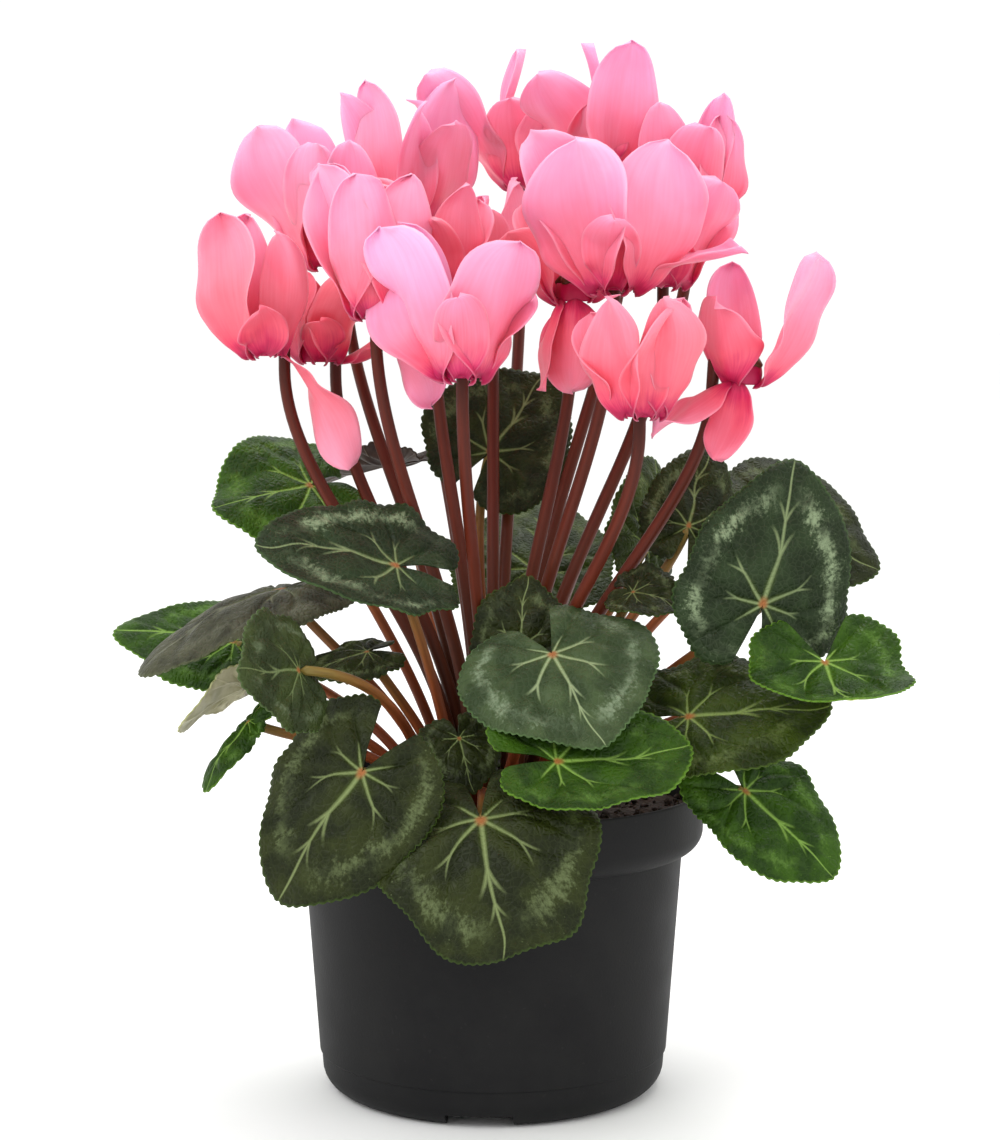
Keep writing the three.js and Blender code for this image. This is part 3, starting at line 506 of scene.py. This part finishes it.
def pot_material():
    """Injection-moulded polypropylene filled with carbon black: charcoal, nearly matte, faintly scuffed and
    dusty, with the fine grain of an etched mould."""
    material, node, feed = new_material(
        "moulded_polypropylene", **{"IOR": 1.49, "Specular IOR Level": 0.14})
    place = node("TexCoord").outputs["Object"]
    cloud = node("TexNoise", {"Scale": 45, "Detail": 5, "Roughness": 0.6}, {"Vector": place})
    # The mould grain is about 0.2 mm, too fine for the render, so it is drawn at 0.7 mm.
    grain = node("TexNoise", {"Scale": 1400, "Detail": 2}, {"Vector": place})
    dust = node("MapRange", {1: 0.4, 2: 0.75}, cloud)
    body = node("MixRGB", {1: colour("#151516"), 2: colour("#1E1E1E")}, dust)
    fleck = node("TexNoise", {"Scale": 600, "Detail": 1}, {"Vector": place})
    fleck = node("MapRange", {1: 0.72, 2: 0.78, 4: 0.12}, fleck)
    body = node("MixRGB", {2: colour("#3A3836")}, {0: fleck, 1: body})
    feed("Base Color", body)
    rough = node("MapRange", {1: 0.3, 2: 0.7, 3: 0.52, 4: 0.64}, cloud)
    feed("Roughness", rough)
    bump = node("Bump", {"Strength": 0.25, "Distance": 0.0002}, {"Height": grain})
    feed("Normal", bump)
    return material


def earthy(name, dark, light, speck, coarse, fine, roughness, depth):
    """A dry natural surface: two browns in patches of a coarse size, specks and relief of a fine size."""
    material, node, feed = new_material(name, **{"IOR": 1.4, "Roughness": roughness})
    place = node("TexCoord").outputs["Object"]
    patches = node("TexNoise", {"Scale": 1000 / coarse, "Detail": 5, "Roughness": 0.65}, {"Vector": place})
    crumbs = node("TexVoronoi", {"Scale": 1000 / fine}, {"Vector": place})
    shade = node("MapRange", {1: 0.35, 2: 0.65}, patches)
    body = node("MixRGB", {1: colour(dark), 2: colour(light)}, shade)
    specks = node("MapRange", {1: 0.12, 2: 0.2, 3: 0.6, 4: 0}, crumbs)
    body = node("MixRGB", {2: colour(speck)}, {0: specks, 1: body})
    feed("Base Color", body)
    height = node("Math.ADD", {}, {0: patches, 1: crumbs})
    bump = node("Bump", {"Strength": 0.8, "Distance": depth}, {"Height": height})
    feed("Normal", bump)
    return material


petal_skin = petal_material()
stalk_skin = stem_material("fleshy_stalk", "#5A3018", "#64220F", "#40140C")
petiole_skin = stem_material("fleshy_petiole", "#8A3A22", "#9C522C", "#7E6E34")
calyx_skin = stem_material("green_calyx", "#4A3A1E", "#5A3A22", "#4A1E16")
pot_skin = pot_material()
# Peat compost, matte and crumbly, and the corky bark of a tuber.
compost_skin = earthy("peat_compost", "#1B120C", "#38271B", "#57412C", 14, 1.6, 0.95, 0.0008)
tuber_skin = earthy("corky_tuber", "#4A3426", "#6E523C", "#8A6E54", 9, 2.5, 0.85, 0.0006)

# ---- shaping ----------------------------------------------------------------------------------------


def new_bmesh():
    """An empty bmesh with the maps that the materials read."""
    bm = bmesh.new()
    for name in ("run", "veins", "blade", "tone"):
        bm.loops.layers.uv.new(name)
    return bm


def add_sheet(bm, place, steps_u, steps_v, maps={}):
    """A grid of faces, its corners moved to place(u, v) with u and v from 0 to 1, and its maps filled."""
    first = len(bm.faces)
    corners = bmesh.ops.create_grid(bm, x_segments=steps_u, y_segments=steps_v, size=0.5)["verts"]
    filled = {"run": lambda u, v: (u, v), **maps}
    for face in bm.faces[first:]:
        for loop in face.loops:
            u, v = loop.vert.co.x + 0.5, loop.vert.co.y + 0.5
            for name, value in filled.items():
                loop[bm.loops.layers.uv[name]].uv = value(u, v)
    for corner in corners:
        corner.co = place(corner.co.x + 0.5, corner.co.y + 0.5) * MM


def add_stem(bm, points, radius):
    """A round stem along the points, closed at both ends. radius(share) is its radius on the way."""
    last = len(points) - 1
    tangents = [(points[min(i + 1, last)] - points[max(i - 1, 0)]).normalized() for i in range(last + 1)]
    side = tangents[0].orthogonal().normalized()
    rings = []
    for point, tangent in zip(points, tangents):
        side = (side - tangent * side.dot(tangent)).normalized()
        rings.append((point, side, tangent.cross(side)))

    def place(u, v):
        i = round(v * last)
        point, x, y = rings[i]
        wide = 0 if i in (0, last) else radius(v)
        return point + (x * math.cos(2 * math.pi * u) + y * math.sin(2 * math.pi * u)) * wide

    add_sheet(bm, place, STEM_SIDES, last)


def bezier_point(p0, p1, p2, p3, t):
    return p0 * (1 - t) ** 3 + p1 * 3 * t * (1 - t) ** 2 + p2 * 3 * t * t * (1 - t) + p3 * t**3


def bezier_way(p0, p1, p2, p3, t):
    """The direction in which a cubic Bezier curve runs at t."""
    return ((p1 - p0) * (1 - t) ** 2 + (p2 - p1) * 2 * t * (1 - t) + (p3 - p2) * t * t).normalized()


def bezier(p0, p1, p2, p3, steps):
    """Points on a cubic Bezier curve, both ends included."""
    return [bezier_point(p0, p1, p2, p3, i / steps) for i in range(steps + 1)]


def finish_piece(name, bm, materials, node, wall=0, offset=-1, merge=True):
    """Turns a bmesh into a smooth piece that rides on the root and replaces its node."""
    if merge:
        bmesh.ops.remove_doubles(bm, verts=bm.verts, dist=1e-6)
    for face in bm.faces:
        face.smooth = True
    mesh = bpy.data.meshes.new(name)
    bm.to_mesh(mesh)
    bm.free()
    for material in materials:
        mesh.materials.append(material)
    piece = bpy.data.objects.new(name, mesh)
    bpy.context.scene.collection.objects.link(piece)
    if wall:
        modifier = piece.modifiers.new("wall", "SOLIDIFY")
        modifier.thickness = wall * MM
        modifier.offset = offset
        modifier.material_offset = len(materials) - 1
    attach(piece, "root")
    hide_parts(node)
    return piece


def around(azimuth, radius, z=0):
    """A point at an azimuth, in degrees, and a distance from the pot's axis."""
    angle = math.radians(azimuth)
    return Vector((radius * math.cos(angle), radius * math.sin(angle), z))


def crown(azimuth, radius):
    """Where a stem leaves the tuber: on its upper face, at a distance from the axis."""
    height = TUBER["half_height"] * math.sqrt(1 - (radius / TUBER["radius"]) ** 2)
    return around(azimuth, radius, TUBER["middle"] + height - ROOT_DEPTH)


# ---- pot, compost and tuber -------------------------------------------------------------------------


def arc(r, z, radius, start, end, steps):
    """Points of a profile on an arc about (r, z), both ends included."""
    angles = [math.radians(start + (end - start) * i / steps) for i in range(steps + 1)]
    return [(r + radius * math.cos(a), z + radius * math.sin(a)) for a in angles]


def wall_radius(z):
    """The outer radius of the pot's tapering wall at a height."""
    share = (z - POT["base_corner"]) / (POT["rim_foot"] - POT["base_corner"])
    return POT["base_radius"] + (POT["neck_radius"] - POT["base_radius"]) * share


def turn_profile(bm, profile, steps):
    """A profile of (radius, height) pairs turned a full round about the pot's axis."""
    corners = [bm.verts.new((r * MM, 0, z * MM)) for r, z in profile]
    edges = [bm.edges.new(pair) for pair in zip(corners, corners[1:])]
    bmesh.ops.spin(bm, geom=corners + edges, cent=(0, 0, 0), axis=(0, 0, 1), angle=2 * math.pi,
                   steps=steps, use_merge=True)
    bmesh.ops.remove_doubles(bm, verts=bm.verts, dist=1e-6)
    bmesh.ops.recalc_face_normals(bm, faces=bm.faces)


def make_pot():
    """The pot turned in one piece, then its foot ring notched and its floor pierced."""
    rim, wall, corner = POT["rim_radius"], POT["wall"], POT["base_corner"]
    step, lip = POT["step_height"], POT["lip"]
    bulge = rim - POT["neck_radius"]
    bm = new_bmesh()
    turn_profile(bm, [
        (0, POT["floor_rise"]),
        (POT["ring_inside"], POT["floor_rise"]),
        (POT["ring_inside"] + POT["ring_draft"], 0),
        *arc(POT["base_radius"] - corner - POT["step_depth"], corner, corner, -90, 0, 8),
        (wall_radius(step) - POT["step_depth"], step),
        (wall_radius(step + POT["step_slope"]), step + POT["step_slope"]),
        *[(wall_radius(z), z) for z in (20, 32, 44, 56)],
        *arc(POT["neck_radius"], POT["band_bottom"], bulge, -90, 0, 10),
        *arc(rim - lip, POT["height"] - lip, lip, 0, 180, 8),
        (rim - wall, POT["band_bottom"]),
        (wall_radius(POT["rim_foot"]) - wall, POT["rim_foot"]),
        (wall_radius(step) - wall, step),
        (wall_radius(corner) - wall - 2, POT["floor_top"]),
        (0, POT["floor_top"]),
    ], ROUND_STEPS["pot"])
    pot = finish_piece("nursery_pot", bm, [pot_skin], "pot", merge=False)

    tools = bmesh.new()
    for i in range(NOTCH["count"]):
        turn = Matrix.Rotation(math.radians(NOTCH["azimuth"] + 360 * i / NOTCH["count"]), 4, "Z")
        size = Matrix.Diagonal((NOTCH["depth"], NOTCH["width"], 2 * NOTCH["height"], 1)) * MM
        size[3][3] = 1
        place = turn @ Matrix.Translation((NOTCH["middle"] * MM, 0, 0)) @ size
        bmesh.ops.create_cube(tools, size=1, matrix=place)
    for i in range(DRAIN["count"]):
        place = Matrix.Translation(around(360 * i / DRAIN["count"], DRAIN["ring"], DRAIN["middle"]) * MM)
        radius = DRAIN["radius"] * MM
        bmesh.ops.create_cone(tools, cap_ends=True, segments=32, radius1=radius, radius2=radius,
                              depth=DRAIN["length"] * MM, matrix=place)
    mesh = bpy.data.meshes.new("cutters")
    tools.to_mesh(mesh)
    tools.free()
    cutter = bpy.data.objects.new("cutters", mesh)
    bpy.context.scene.collection.objects.link(cutter)
    modifier = pot.modifiers.new("cut", "BOOLEAN")
    modifier.operation, modifier.solver, modifier.object = "DIFFERENCE", "EXACT", cutter
    seen = pot.evaluated_get(bpy.context.evaluated_depsgraph_get())
    cut = bpy.data.meshes.new_from_object(seen)
    pot.modifiers.clear()
    pot.data = cut
    bpy.data.objects.remove(cutter)
    cut.set_sharp_from_angle(angle=math.radians(30))


def make_compost():
    """A heap of peat inside the pot, its surface lumpy, with loose crumbs lying on it."""
    bm = new_bmesh()
    gap, lowest = TUBER["gap"], TUBER["middle"] - TUBER["half_height"]
    inset = POT["wall"] + COMPOST["gap"]
    inside = POT["rim_radius"] - inset
    bowl = [(TUBER["radius"] * math.cos(a) + gap, TUBER["middle"] + TUBER["half_height"] * math.sin(a))
            for a in (math.radians(30 - 120 * i / 8) for i in range(9))]
    bowl = [(max(r - gap, 0) if z < lowest + 1 else r, z - gap) for r, z in bowl][::-1]
    rings = [(r, COMPOST["top"] + COMPOST["heap"] * (r < COMPOST["heap_radius"])) for r in
             [COMPOST["heap_radius"] - 4 + 26 * i / 14 for i in range(14)] if r < inside - 1]
    turn_profile(bm, [
        (0, bowl[0][1]), *bowl[1:], *rings,
        (inside, COMPOST["top"]),
        (inside, POT["band_bottom"] + COMPOST["gap"]),
        (wall_radius(POT["rim_foot"]) - inset, POT["rim_foot"]),
        (wall_radius(POT["step_height"]) - inset, POT["step_height"]),
        (wall_radius(POT["base_corner"]) - inset - 2, POT["floor_top"] + 0.3),
        (0, POT["floor_top"] + 0.3),
    ], ROUND_STEPS["compost"])
    for corner in bm.verts:
        r = corner.co.xy.length / MM
        if corner.co.z > COMPOST["top"] * MM - 1e-6 and TUBER["radius"] < r < inside - 0.1:
            lump = noise.fractal(corner.co / (COMPOST["lump_size"] * MM), 0.8, 2.1, 4)
            corner.co.z += (COMPOST["lump"] * lump + 0.5) * MM
    rng = random.Random(4)
    for _ in range(CRUMBS["count"]):
        r, azimuth, size = rng.uniform(*CRUMBS["ring"]), rng.uniform(0, 360), rng.uniform(*CRUMBS["size"])
        place = around(azimuth, r, COMPOST["top"] + 0.5 + size * 0.3) * MM
        turn = Quaternion((rng.random(), rng.random(), rng.random(), rng.random())).normalized()
        shape = Matrix.Diagonal((1, rng.uniform(0.5, 1), rng.uniform(0.4, 0.9), 1))
        place = Matrix.Translation(place) @ turn.to_matrix().to_4x4() @ shape
        crumb = bmesh.ops.create_icosphere(bm, subdivisions=1, radius=size * MM, matrix=place)
        for corner in crumb["verts"]:
            corner.co += Vector([rng.uniform(-0.2, 0.2) * size * MM for _ in range(3)])
    finish_piece("peat_heap", bm, [compost_skin], "compost", merge=False)


def make_tuber():
    """A flattened corky tuber with a rough crown."""
    bm = new_bmesh()
    profile = [(TUBER["radius"] * math.cos(a), TUBER["middle"] + TUBER["half_height"] * math.sin(a))
               for a in (math.radians(90 - 180 * i / 30) for i in range(31))]
    profile[0] = (0, profile[0][1])
    profile[-1] = (0, profile[-1][1])
    turn_profile(bm, profile, ROUND_STEPS["tuber"])
    for corner in bm.verts:
        out = (corner.co - Vector((0, 0, TUBER["middle"] * MM))).normalized()
        rough = noise.fractal(corner.co / (TUBER["bark_size"] * MM), 0.9, 2.2, 4)
        corner.co += out * (TUBER["bark_depth"] * rough - 0.3) * MM
    finish_piece("corky_tuber", bm, [tuber_skin], "tuber", merge=False)


# ---- leaves -----------------------------------------------------------------------------------------

RINGS, ROUND = 18, 360  # faces from the junction to the margin, and round the blade
TOOTH_PITCH, TOOTH_DEPTH = 2.2, 0.65


def outline(angle, width):
    """Distance of the margin from the junction at an angle from the midrib, for a blade of length 1."""
    length = LOBE_LENGTH if math.cos(angle) < 0 else 1
    ellipse = 1 / math.hypot(math.cos(angle) / length, math.sin(angle) / width)
    tip = 0.08 * math.exp(-((angle / 0.22) ** 2))
    past_shoulder = max(0, (abs(angle) - (math.pi - 0.75)) / 0.75)
    return ellipse * (0.92 + tip) * (1 - 0.35 * past_shoulder**2)


def leaf_frame(leaf):
    """The blade's junction, its axes along the midrib, out of its face and across, and its length."""
    at, tip, up = Vector(leaf["at"]), Vector(leaf["tip"]), Vector(leaf["face"])
    ahead = (tip - at).normalized()
    up = (up - ahead * up.dot(ahead)).normalized()
    half = math.radians(leaf["curl"]) / 2
    m = ahead * math.cos(half) + up * math.sin(half)
    n = up * math.cos(half) - ahead * math.sin(half)
    return at, m, n, n.cross(m), (tip - at).length * half / math.sin(half)


def bend(run, total, length):
    """How far ahead and how far down a strip ends that bends evenly."""
    rate = total / length
    return math.sin(rate * run) / rate, (1 - math.cos(rate * run)) / rate


def petiole_points(leaf, steps):
    """A petiole's way from the tuber to the blade's underside, close to its junction."""
    at, m, n, s, _ = leaf_frame(leaf)
    root = crown(*leaf["root"])
    run = at - root
    way = run.normalized()
    arrival = (n * max(way.dot(n), 0.35) + m * way.dot(m) + s * 0.4 * way.dot(s)).normalized()
    leave = Vector((way.x * 0.5, way.y * 0.5, 1)).normalized()
    by = Vector(leaf["by"]) if "by" in leaf else at - arrival * 0.25 * run.length
    return bezier(root, root + leave * 0.4 * run.length, by, at - arrival * PETIOLE["stop"], steps)


def make_leaf(name, leaf, seed):
    at, m, n, s, length = leaf_frame(leaf)
    rng = random.Random(seed)
    phase = rng.uniform(0, 2 * math.pi)
    ruffles = rng.choice((5, 7, 8))
    shift = Vector((rng.uniform(0, 9), rng.uniform(0, 9), rng.uniform(0, 9)))
    width, curl, roll = leaf["width"], math.radians(leaf["curl"]), math.radians(leaf["roll"])
    sweep = math.radians(180 - leaf.get("sinus", SINUS))

    lengths = [0]
    for i in range(ROUND):
        reach = length * outline((2 * (i + 0.5) / ROUND - 1) * sweep, width)
        lengths.append(lengths[-1] + reach * 2 * sweep / ROUND)

    def veer(share, angle):
        """The veins' own angle, which strays a little so that the two halves differ."""
        spot = Vector((share * math.cos(angle), share * math.sin(angle), 0)) * 2.2 + shift
        return angle + 0.14 * noise.noise(spot) * min(1, 3 * share)

    def flat(u, v):
        angle = (2 * v - 1) * sweep
        run = lengths[round(v * ROUND)] / TOOTH_PITCH
        tooth = TOOTH_DEPTH / length * (abs(math.sin(math.pi * run)) - 0.7) * u**10
        spot = Vector((math.cos(angle), math.sin(angle), 0)) * 1.7 + shift
        uneven = 0.1 * (noise.noise(spot) - 0.1) * u**3
        reach = u * length * (outline(angle, width) + tooth + uneven)
        return angle, reach

    def place(u, v):
        angle, reach = flat(u, v)
        x, drop_x = bend(reach * math.cos(angle), curl, length)
        y, drop_y = bend(reach * math.sin(angle), roll, length * width)
        near = vein_distance(u, veer(u, angle)) * length
        groove = 0.3 * math.exp(-((near / 0.7) ** 2)) * min(1, 5 * u) * (1 - 0.7 * u**4)
        pucker = 0.8 * (1 - math.exp(-((near / 2.2) ** 2))) * math.sin(math.pi * min(1, u)) ** 0.6
        ruffle = 0.6 * u**4 * math.sin(ruffles * angle + phase)
        lift = leaf.get("wave", 0) * u**2 * math.sin(5 * angle + 1)
        dent = 1.5 * noise.noise(Vector((x, y, 0)) / 11 + shift) * min(1, 3 * u)
        return at + m * x + s * y + n * (lift + ruffle + pucker + dent - groove - drop_x - drop_y)

    def vein_map(u, v):
        return u, veer(u, (2 * v - 1) * sweep) / (2 * math.pi) + 0.5

    def blade_map(u, v):
        angle, reach = flat(u, v)
        return reach * math.cos(angle) / 100 + shift.x, reach * math.sin(angle) / 100 + shift.y

    bm = new_bmesh()
    add_sheet(bm, place, RINGS, ROUND, {"veins": vein_map, "blade": blade_map,
                                        "tone": lambda u, v: (phase, phase)})
    finish_piece(f"{name}_blade", bm, leaf_skins[leaf["look"]], f"leaf_{name}",
                 wall=BLADE_THICKNESS)

    bm = new_bmesh()
    add_stem(bm, petiole_points(leaf, 36), lambda t: PETIOLE["foot"] - PETIOLE["taper"] * t)
    finish_piece(f"{name}_petiole", bm, [petiole_skin], f"leaf_{name}")


# ---- flowers ----------------------------------------------------------------------------------------


class FlowerAxes:
    """A flower's mouth and its axes: a up its axis, b towards the hook and c across."""

    def __init__(self, flower):
        lean = flower.get("lean", (0, 0))
        self.mouth = Vector(flower["mouth"])
        self.a = Vector((*lean, 1)).normalized()
        hook = around(flower["hook"], 1)
        self.b = (hook - self.a * hook.dot(self.a)).normalized()
        self.c = self.a.cross(self.b)

    def point(self, radius, angle, height):
        out = self.b * math.cos(angle) + self.c * math.sin(angle)
        return self.mouth + out * radius + self.a * height


def stalk_points(flower, axes):
    """A stalk's way from the tuber up beside its flower and over in a hook."""
    out = math.hypot(axes.mouth.x, axes.mouth.y)
    azimuth = math.degrees(math.atan2(axes.mouth.y, axes.mouth.x))
    root = crown(azimuth, max(STALK["root_least"], STALK["root_share"] * out))
    beside = axes.point(STALK["clear"], 0, -4)
    rise = beside.z - root.z
    climb = bezier(root, root + Vector((0, 0, 0.4 * rise)), beside - axes.a * 0.3 * rise, beside, 40)
    hook_radius = STALK["hook_radius"]
    hook = [
        axes.point(hook_radius * (1 + math.cos(t)), 0, CALYX["top"] - 1 + hook_radius * math.sin(t))
        for t in (math.pi * i / 12 for i in range(13))
    ]
    return climb + hook


def make_stalk(name, flower):
    axes = FlowerAxes(flower)
    bm = new_bmesh()
    add_stem(bm, stalk_points(flower, axes), lambda t: STALK["foot"] - STALK["taper"] * t)
    finish_piece(f"{name}_stalk", bm, [stalk_skin], f"stalk_{name}")

    profile = [(0, CALYX["bottom"]), (CALYX["radius"] * 0.95, CALYX["bottom"] - 0.2),
               (CALYX["radius"], CALYX["bottom"] + 0.5), (CALYX["radius"] * 0.85, CALYX["top"] - 1.6),
               (CALYX["radius"] * 0.45, CALYX["top"] - 0.5), (0, CALYX["top"])]

    def place(u, v):
        radius, height = profile[round(v * (len(profile) - 1))]
        angle = 2 * math.pi * u
        sepal = 1 + 0.16 * math.cos(5 * angle)
        return axes.point(radius * sepal, angle, height - 0.5 * (radius > 4) * math.cos(5 * angle))

    bm = new_bmesh()
    add_sheet(bm, place, 60, len(profile) - 1)
    finish_piece(f"{name}_calyx", bm, [calyx_skin], f"stalk_{name}")


def petal_half_width(share, width, point):
    """Half the petal's width at a share of its length: narrow foot, broadest past the middle."""
    broadest = PETAL["broadest"]
    if share < broadest:
        return width / 2 * (0.26 + 0.74 * math.sin(math.pi * share / (2 * broadest)) ** 2)
    return width / 2 * max(0.001, 1 - ((share - broadest) / (1 - broadest)) ** point) ** (1 / point)


def add_petal(bm, axes, hook, petal, tone, rng):
    azimuth, lean, length, width, facing = petal
    angle = math.radians(azimuth - hook)
    twist = math.radians((facing - azimuth + 90) % 180 - 90)
    reach, rise = length * math.sin(math.radians(lean)), length * math.cos(math.radians(lean))
    foot = PETAL["foot"]
    p0, p1 = axes.point(foot, angle, 0.8), axes.point(foot + PETAL["flare"], angle, 0)
    p2, p3 = axes.point(foot + 0.4 * reach + 1.5, angle, 0.5 * rise), axes.point(foot + reach, angle, rise)
    tangential = axes.c * math.cos(angle) - axes.b * math.sin(angle)
    fold = rng.choice((-1, 1)) * rng.uniform(0.25, 0.55)
    left, right = fold * rng.uniform(0.4, 1.5), fold * rng.uniform(0.4, 1.5)
    curl, sway = rng.uniform(-0.5, 0.5), rng.uniform(-0.05, 0.05)
    crease, slant = rng.choice((-1, 1)) * rng.uniform(0.35, 0.75), rng.uniform(-0.35, 0.35)
    phase, phase2, point = rng.uniform(0, 6.28), rng.uniform(0, 6.28), rng.uniform(1.6, 2.2)
    # The petal's tone, partly its own colour and partly painted light and shade, strays at random from its
    # flower's.
    shade = min(1, max(0, tone + rng.uniform(-0.22, 0.22)))
    seed = rng.random()

    def place(u, t):
        x = 2 * u - 1
        middle = bezier_point(p0, p1, p2, p3, t)
        ahead = bezier_way(p0, p1, p2, p3, t)
        across = (tangential - ahead * tangential.dot(ahead)).normalized()
        across.rotate(Quaternion(ahead, twist * t**1.8))
        out = across.cross(ahead)
        half = petal_half_width(t, PETAL["fullness"] * width, point)
        gutter = 0.75 * max(0, 1 - t / 0.45) ** 2 * x * x
        hinge = math.sqrt(x * x + 0.03) - 0.17
        side = (left if x < 0 else right) * hinge * min(1, t / 0.4)
        ripple = 0.1 * width * x * x * x * math.sin(8 * t + phase) * min(1, 2 * t) ** 2
        ripple += 0.045 * width * x * x * math.sin(17 * t + phase2) * min(1, 2 * t) ** 2
        past = t - 0.66 + slant * x
        tip = curl * max(0, t - 0.5) ** 2 * length
        tip += crease * length * (past + math.sqrt(past * past + 0.003)) / 2 * (1 - 0.4 * x * x)
        return (middle + across * (x * half + sway * length * math.sin(math.pi * t))
                + out * ((gutter + side) * half + ripple + tip))

    add_sheet(bm, place, 16, 36, {"run": lambda u, v: (u, v * length / PETAL["map_length"]),
                                  "tone": lambda u, v: (shade, seed)})


def make_corolla(name, flower, seed):
    axes = FlowerAxes(flower)
    rng = random.Random(seed)
    bm = new_bmesh()

    def throat(u, v):
        angle = 2 * math.pi * u
        radius = 4.6 + 0.8 * math.sin(math.pi * (0.15 + 0.7 * v)) + 0.25 * math.cos(5 * angle)
        return axes.point(radius, angle, THROAT_HEIGHT * v)

    add_sheet(bm, throat, 60, 8, {"run": lambda u, v: (0.5, 0.1 * (1 - v)),
                                  "tone": lambda u, v: (flower["tone"], 0.5)})
    for petal in flower["petals"]:
        add_petal(bm, axes, flower["hook"], petal, flower["tone"], rng)
    finish_piece(f"{name}_corolla", bm, [petal_skin], f"corolla_{name}",
                 wall=PETAL["thickness"], offset=0)


# ---- the plant --------------------------------------------------------------------------------------

make_pot()
make_compost()
make_tuber()
for seed, (name, leaf) in enumerate(LEAVES.items()):
    make_leaf(name, leaf, seed)
for seed, (name, flower) in enumerate(FLOWERS.items()):
    make_stalk(name, flower)
    make_corolla(name, flower, 100 + seed)

# ---- studio -----------------------------------------------------------------------------------------


def make_studio():
    """A pale paper floor, soft light from all sides, and the camera."""
    material, node, feed = new_material("matt_paper", **{"Roughness": 0.9})
    fibre = node("TexNoise", {"Scale": 40, "Detail": 3}, {"Vector": node("TexCoord").outputs["Object"]})
    tint = node("MixRGB", {1: colour("#FAFAF9"), 2: colour("#FDFDFC")}, {0: fibre})
    feed("Base Color", tint)
    bm = bmesh.new()
    bmesh.ops.create_grid(bm, x_segments=8, y_segments=8, size=20)
    mesh = bpy.data.meshes.new("paper_floor")
    bm.to_mesh(mesh)
    bm.free()
    mesh.materials.append(material)
    floor = bpy.data.objects.new("paper_floor", mesh)
    bpy.context.scene.collection.objects.link(floor)

    world = bpy.data.worlds.new("studio")
    world.use_nodes = True
    world.node_tree.nodes["Background"].inputs["Color"].default_value = colour("#FFFFFF")
    world.node_tree.nodes["Background"].inputs["Strength"].default_value = 1.06
    bpy.context.scene.world = world
    for name, place, size, power in (
        ("key_softbox", (-0.9, -1.1, 1.3), 0.9, 11),
        ("fill_softbox", (1.3, -0.9, 0.9), 1.0, 3),
        ("top_softbox", (0.2, 0.5, 1.5), 1.0, 10),
    ):
        light = bpy.data.lights.new(name, "AREA")
        light.energy, light.size = power, size
        lamp = bpy.data.objects.new(name, light)
        lamp.location = place
        lamp.rotation_euler = (Vector((0, 0, 0.15)) - Vector(place)).to_track_quat("-Z", "Y").to_euler()
        bpy.context.scene.collection.objects.link(lamp)

    bpy.context.scene.view_settings.view_transform = "Standard"
    camera = bpy.data.objects.new("camera", bpy.data.cameras.new("camera"))
    camera.data.lens, camera.data.sensor_width = 85, 36
    camera.location = (0.002, -0.760, 0.224)
    camera.rotation_euler = (math.radians(90 - 5.7), 0, 0)
    bpy.context.scene.collection.objects.link(camera)
    bpy.context.scene.camera = camera


make_studio()
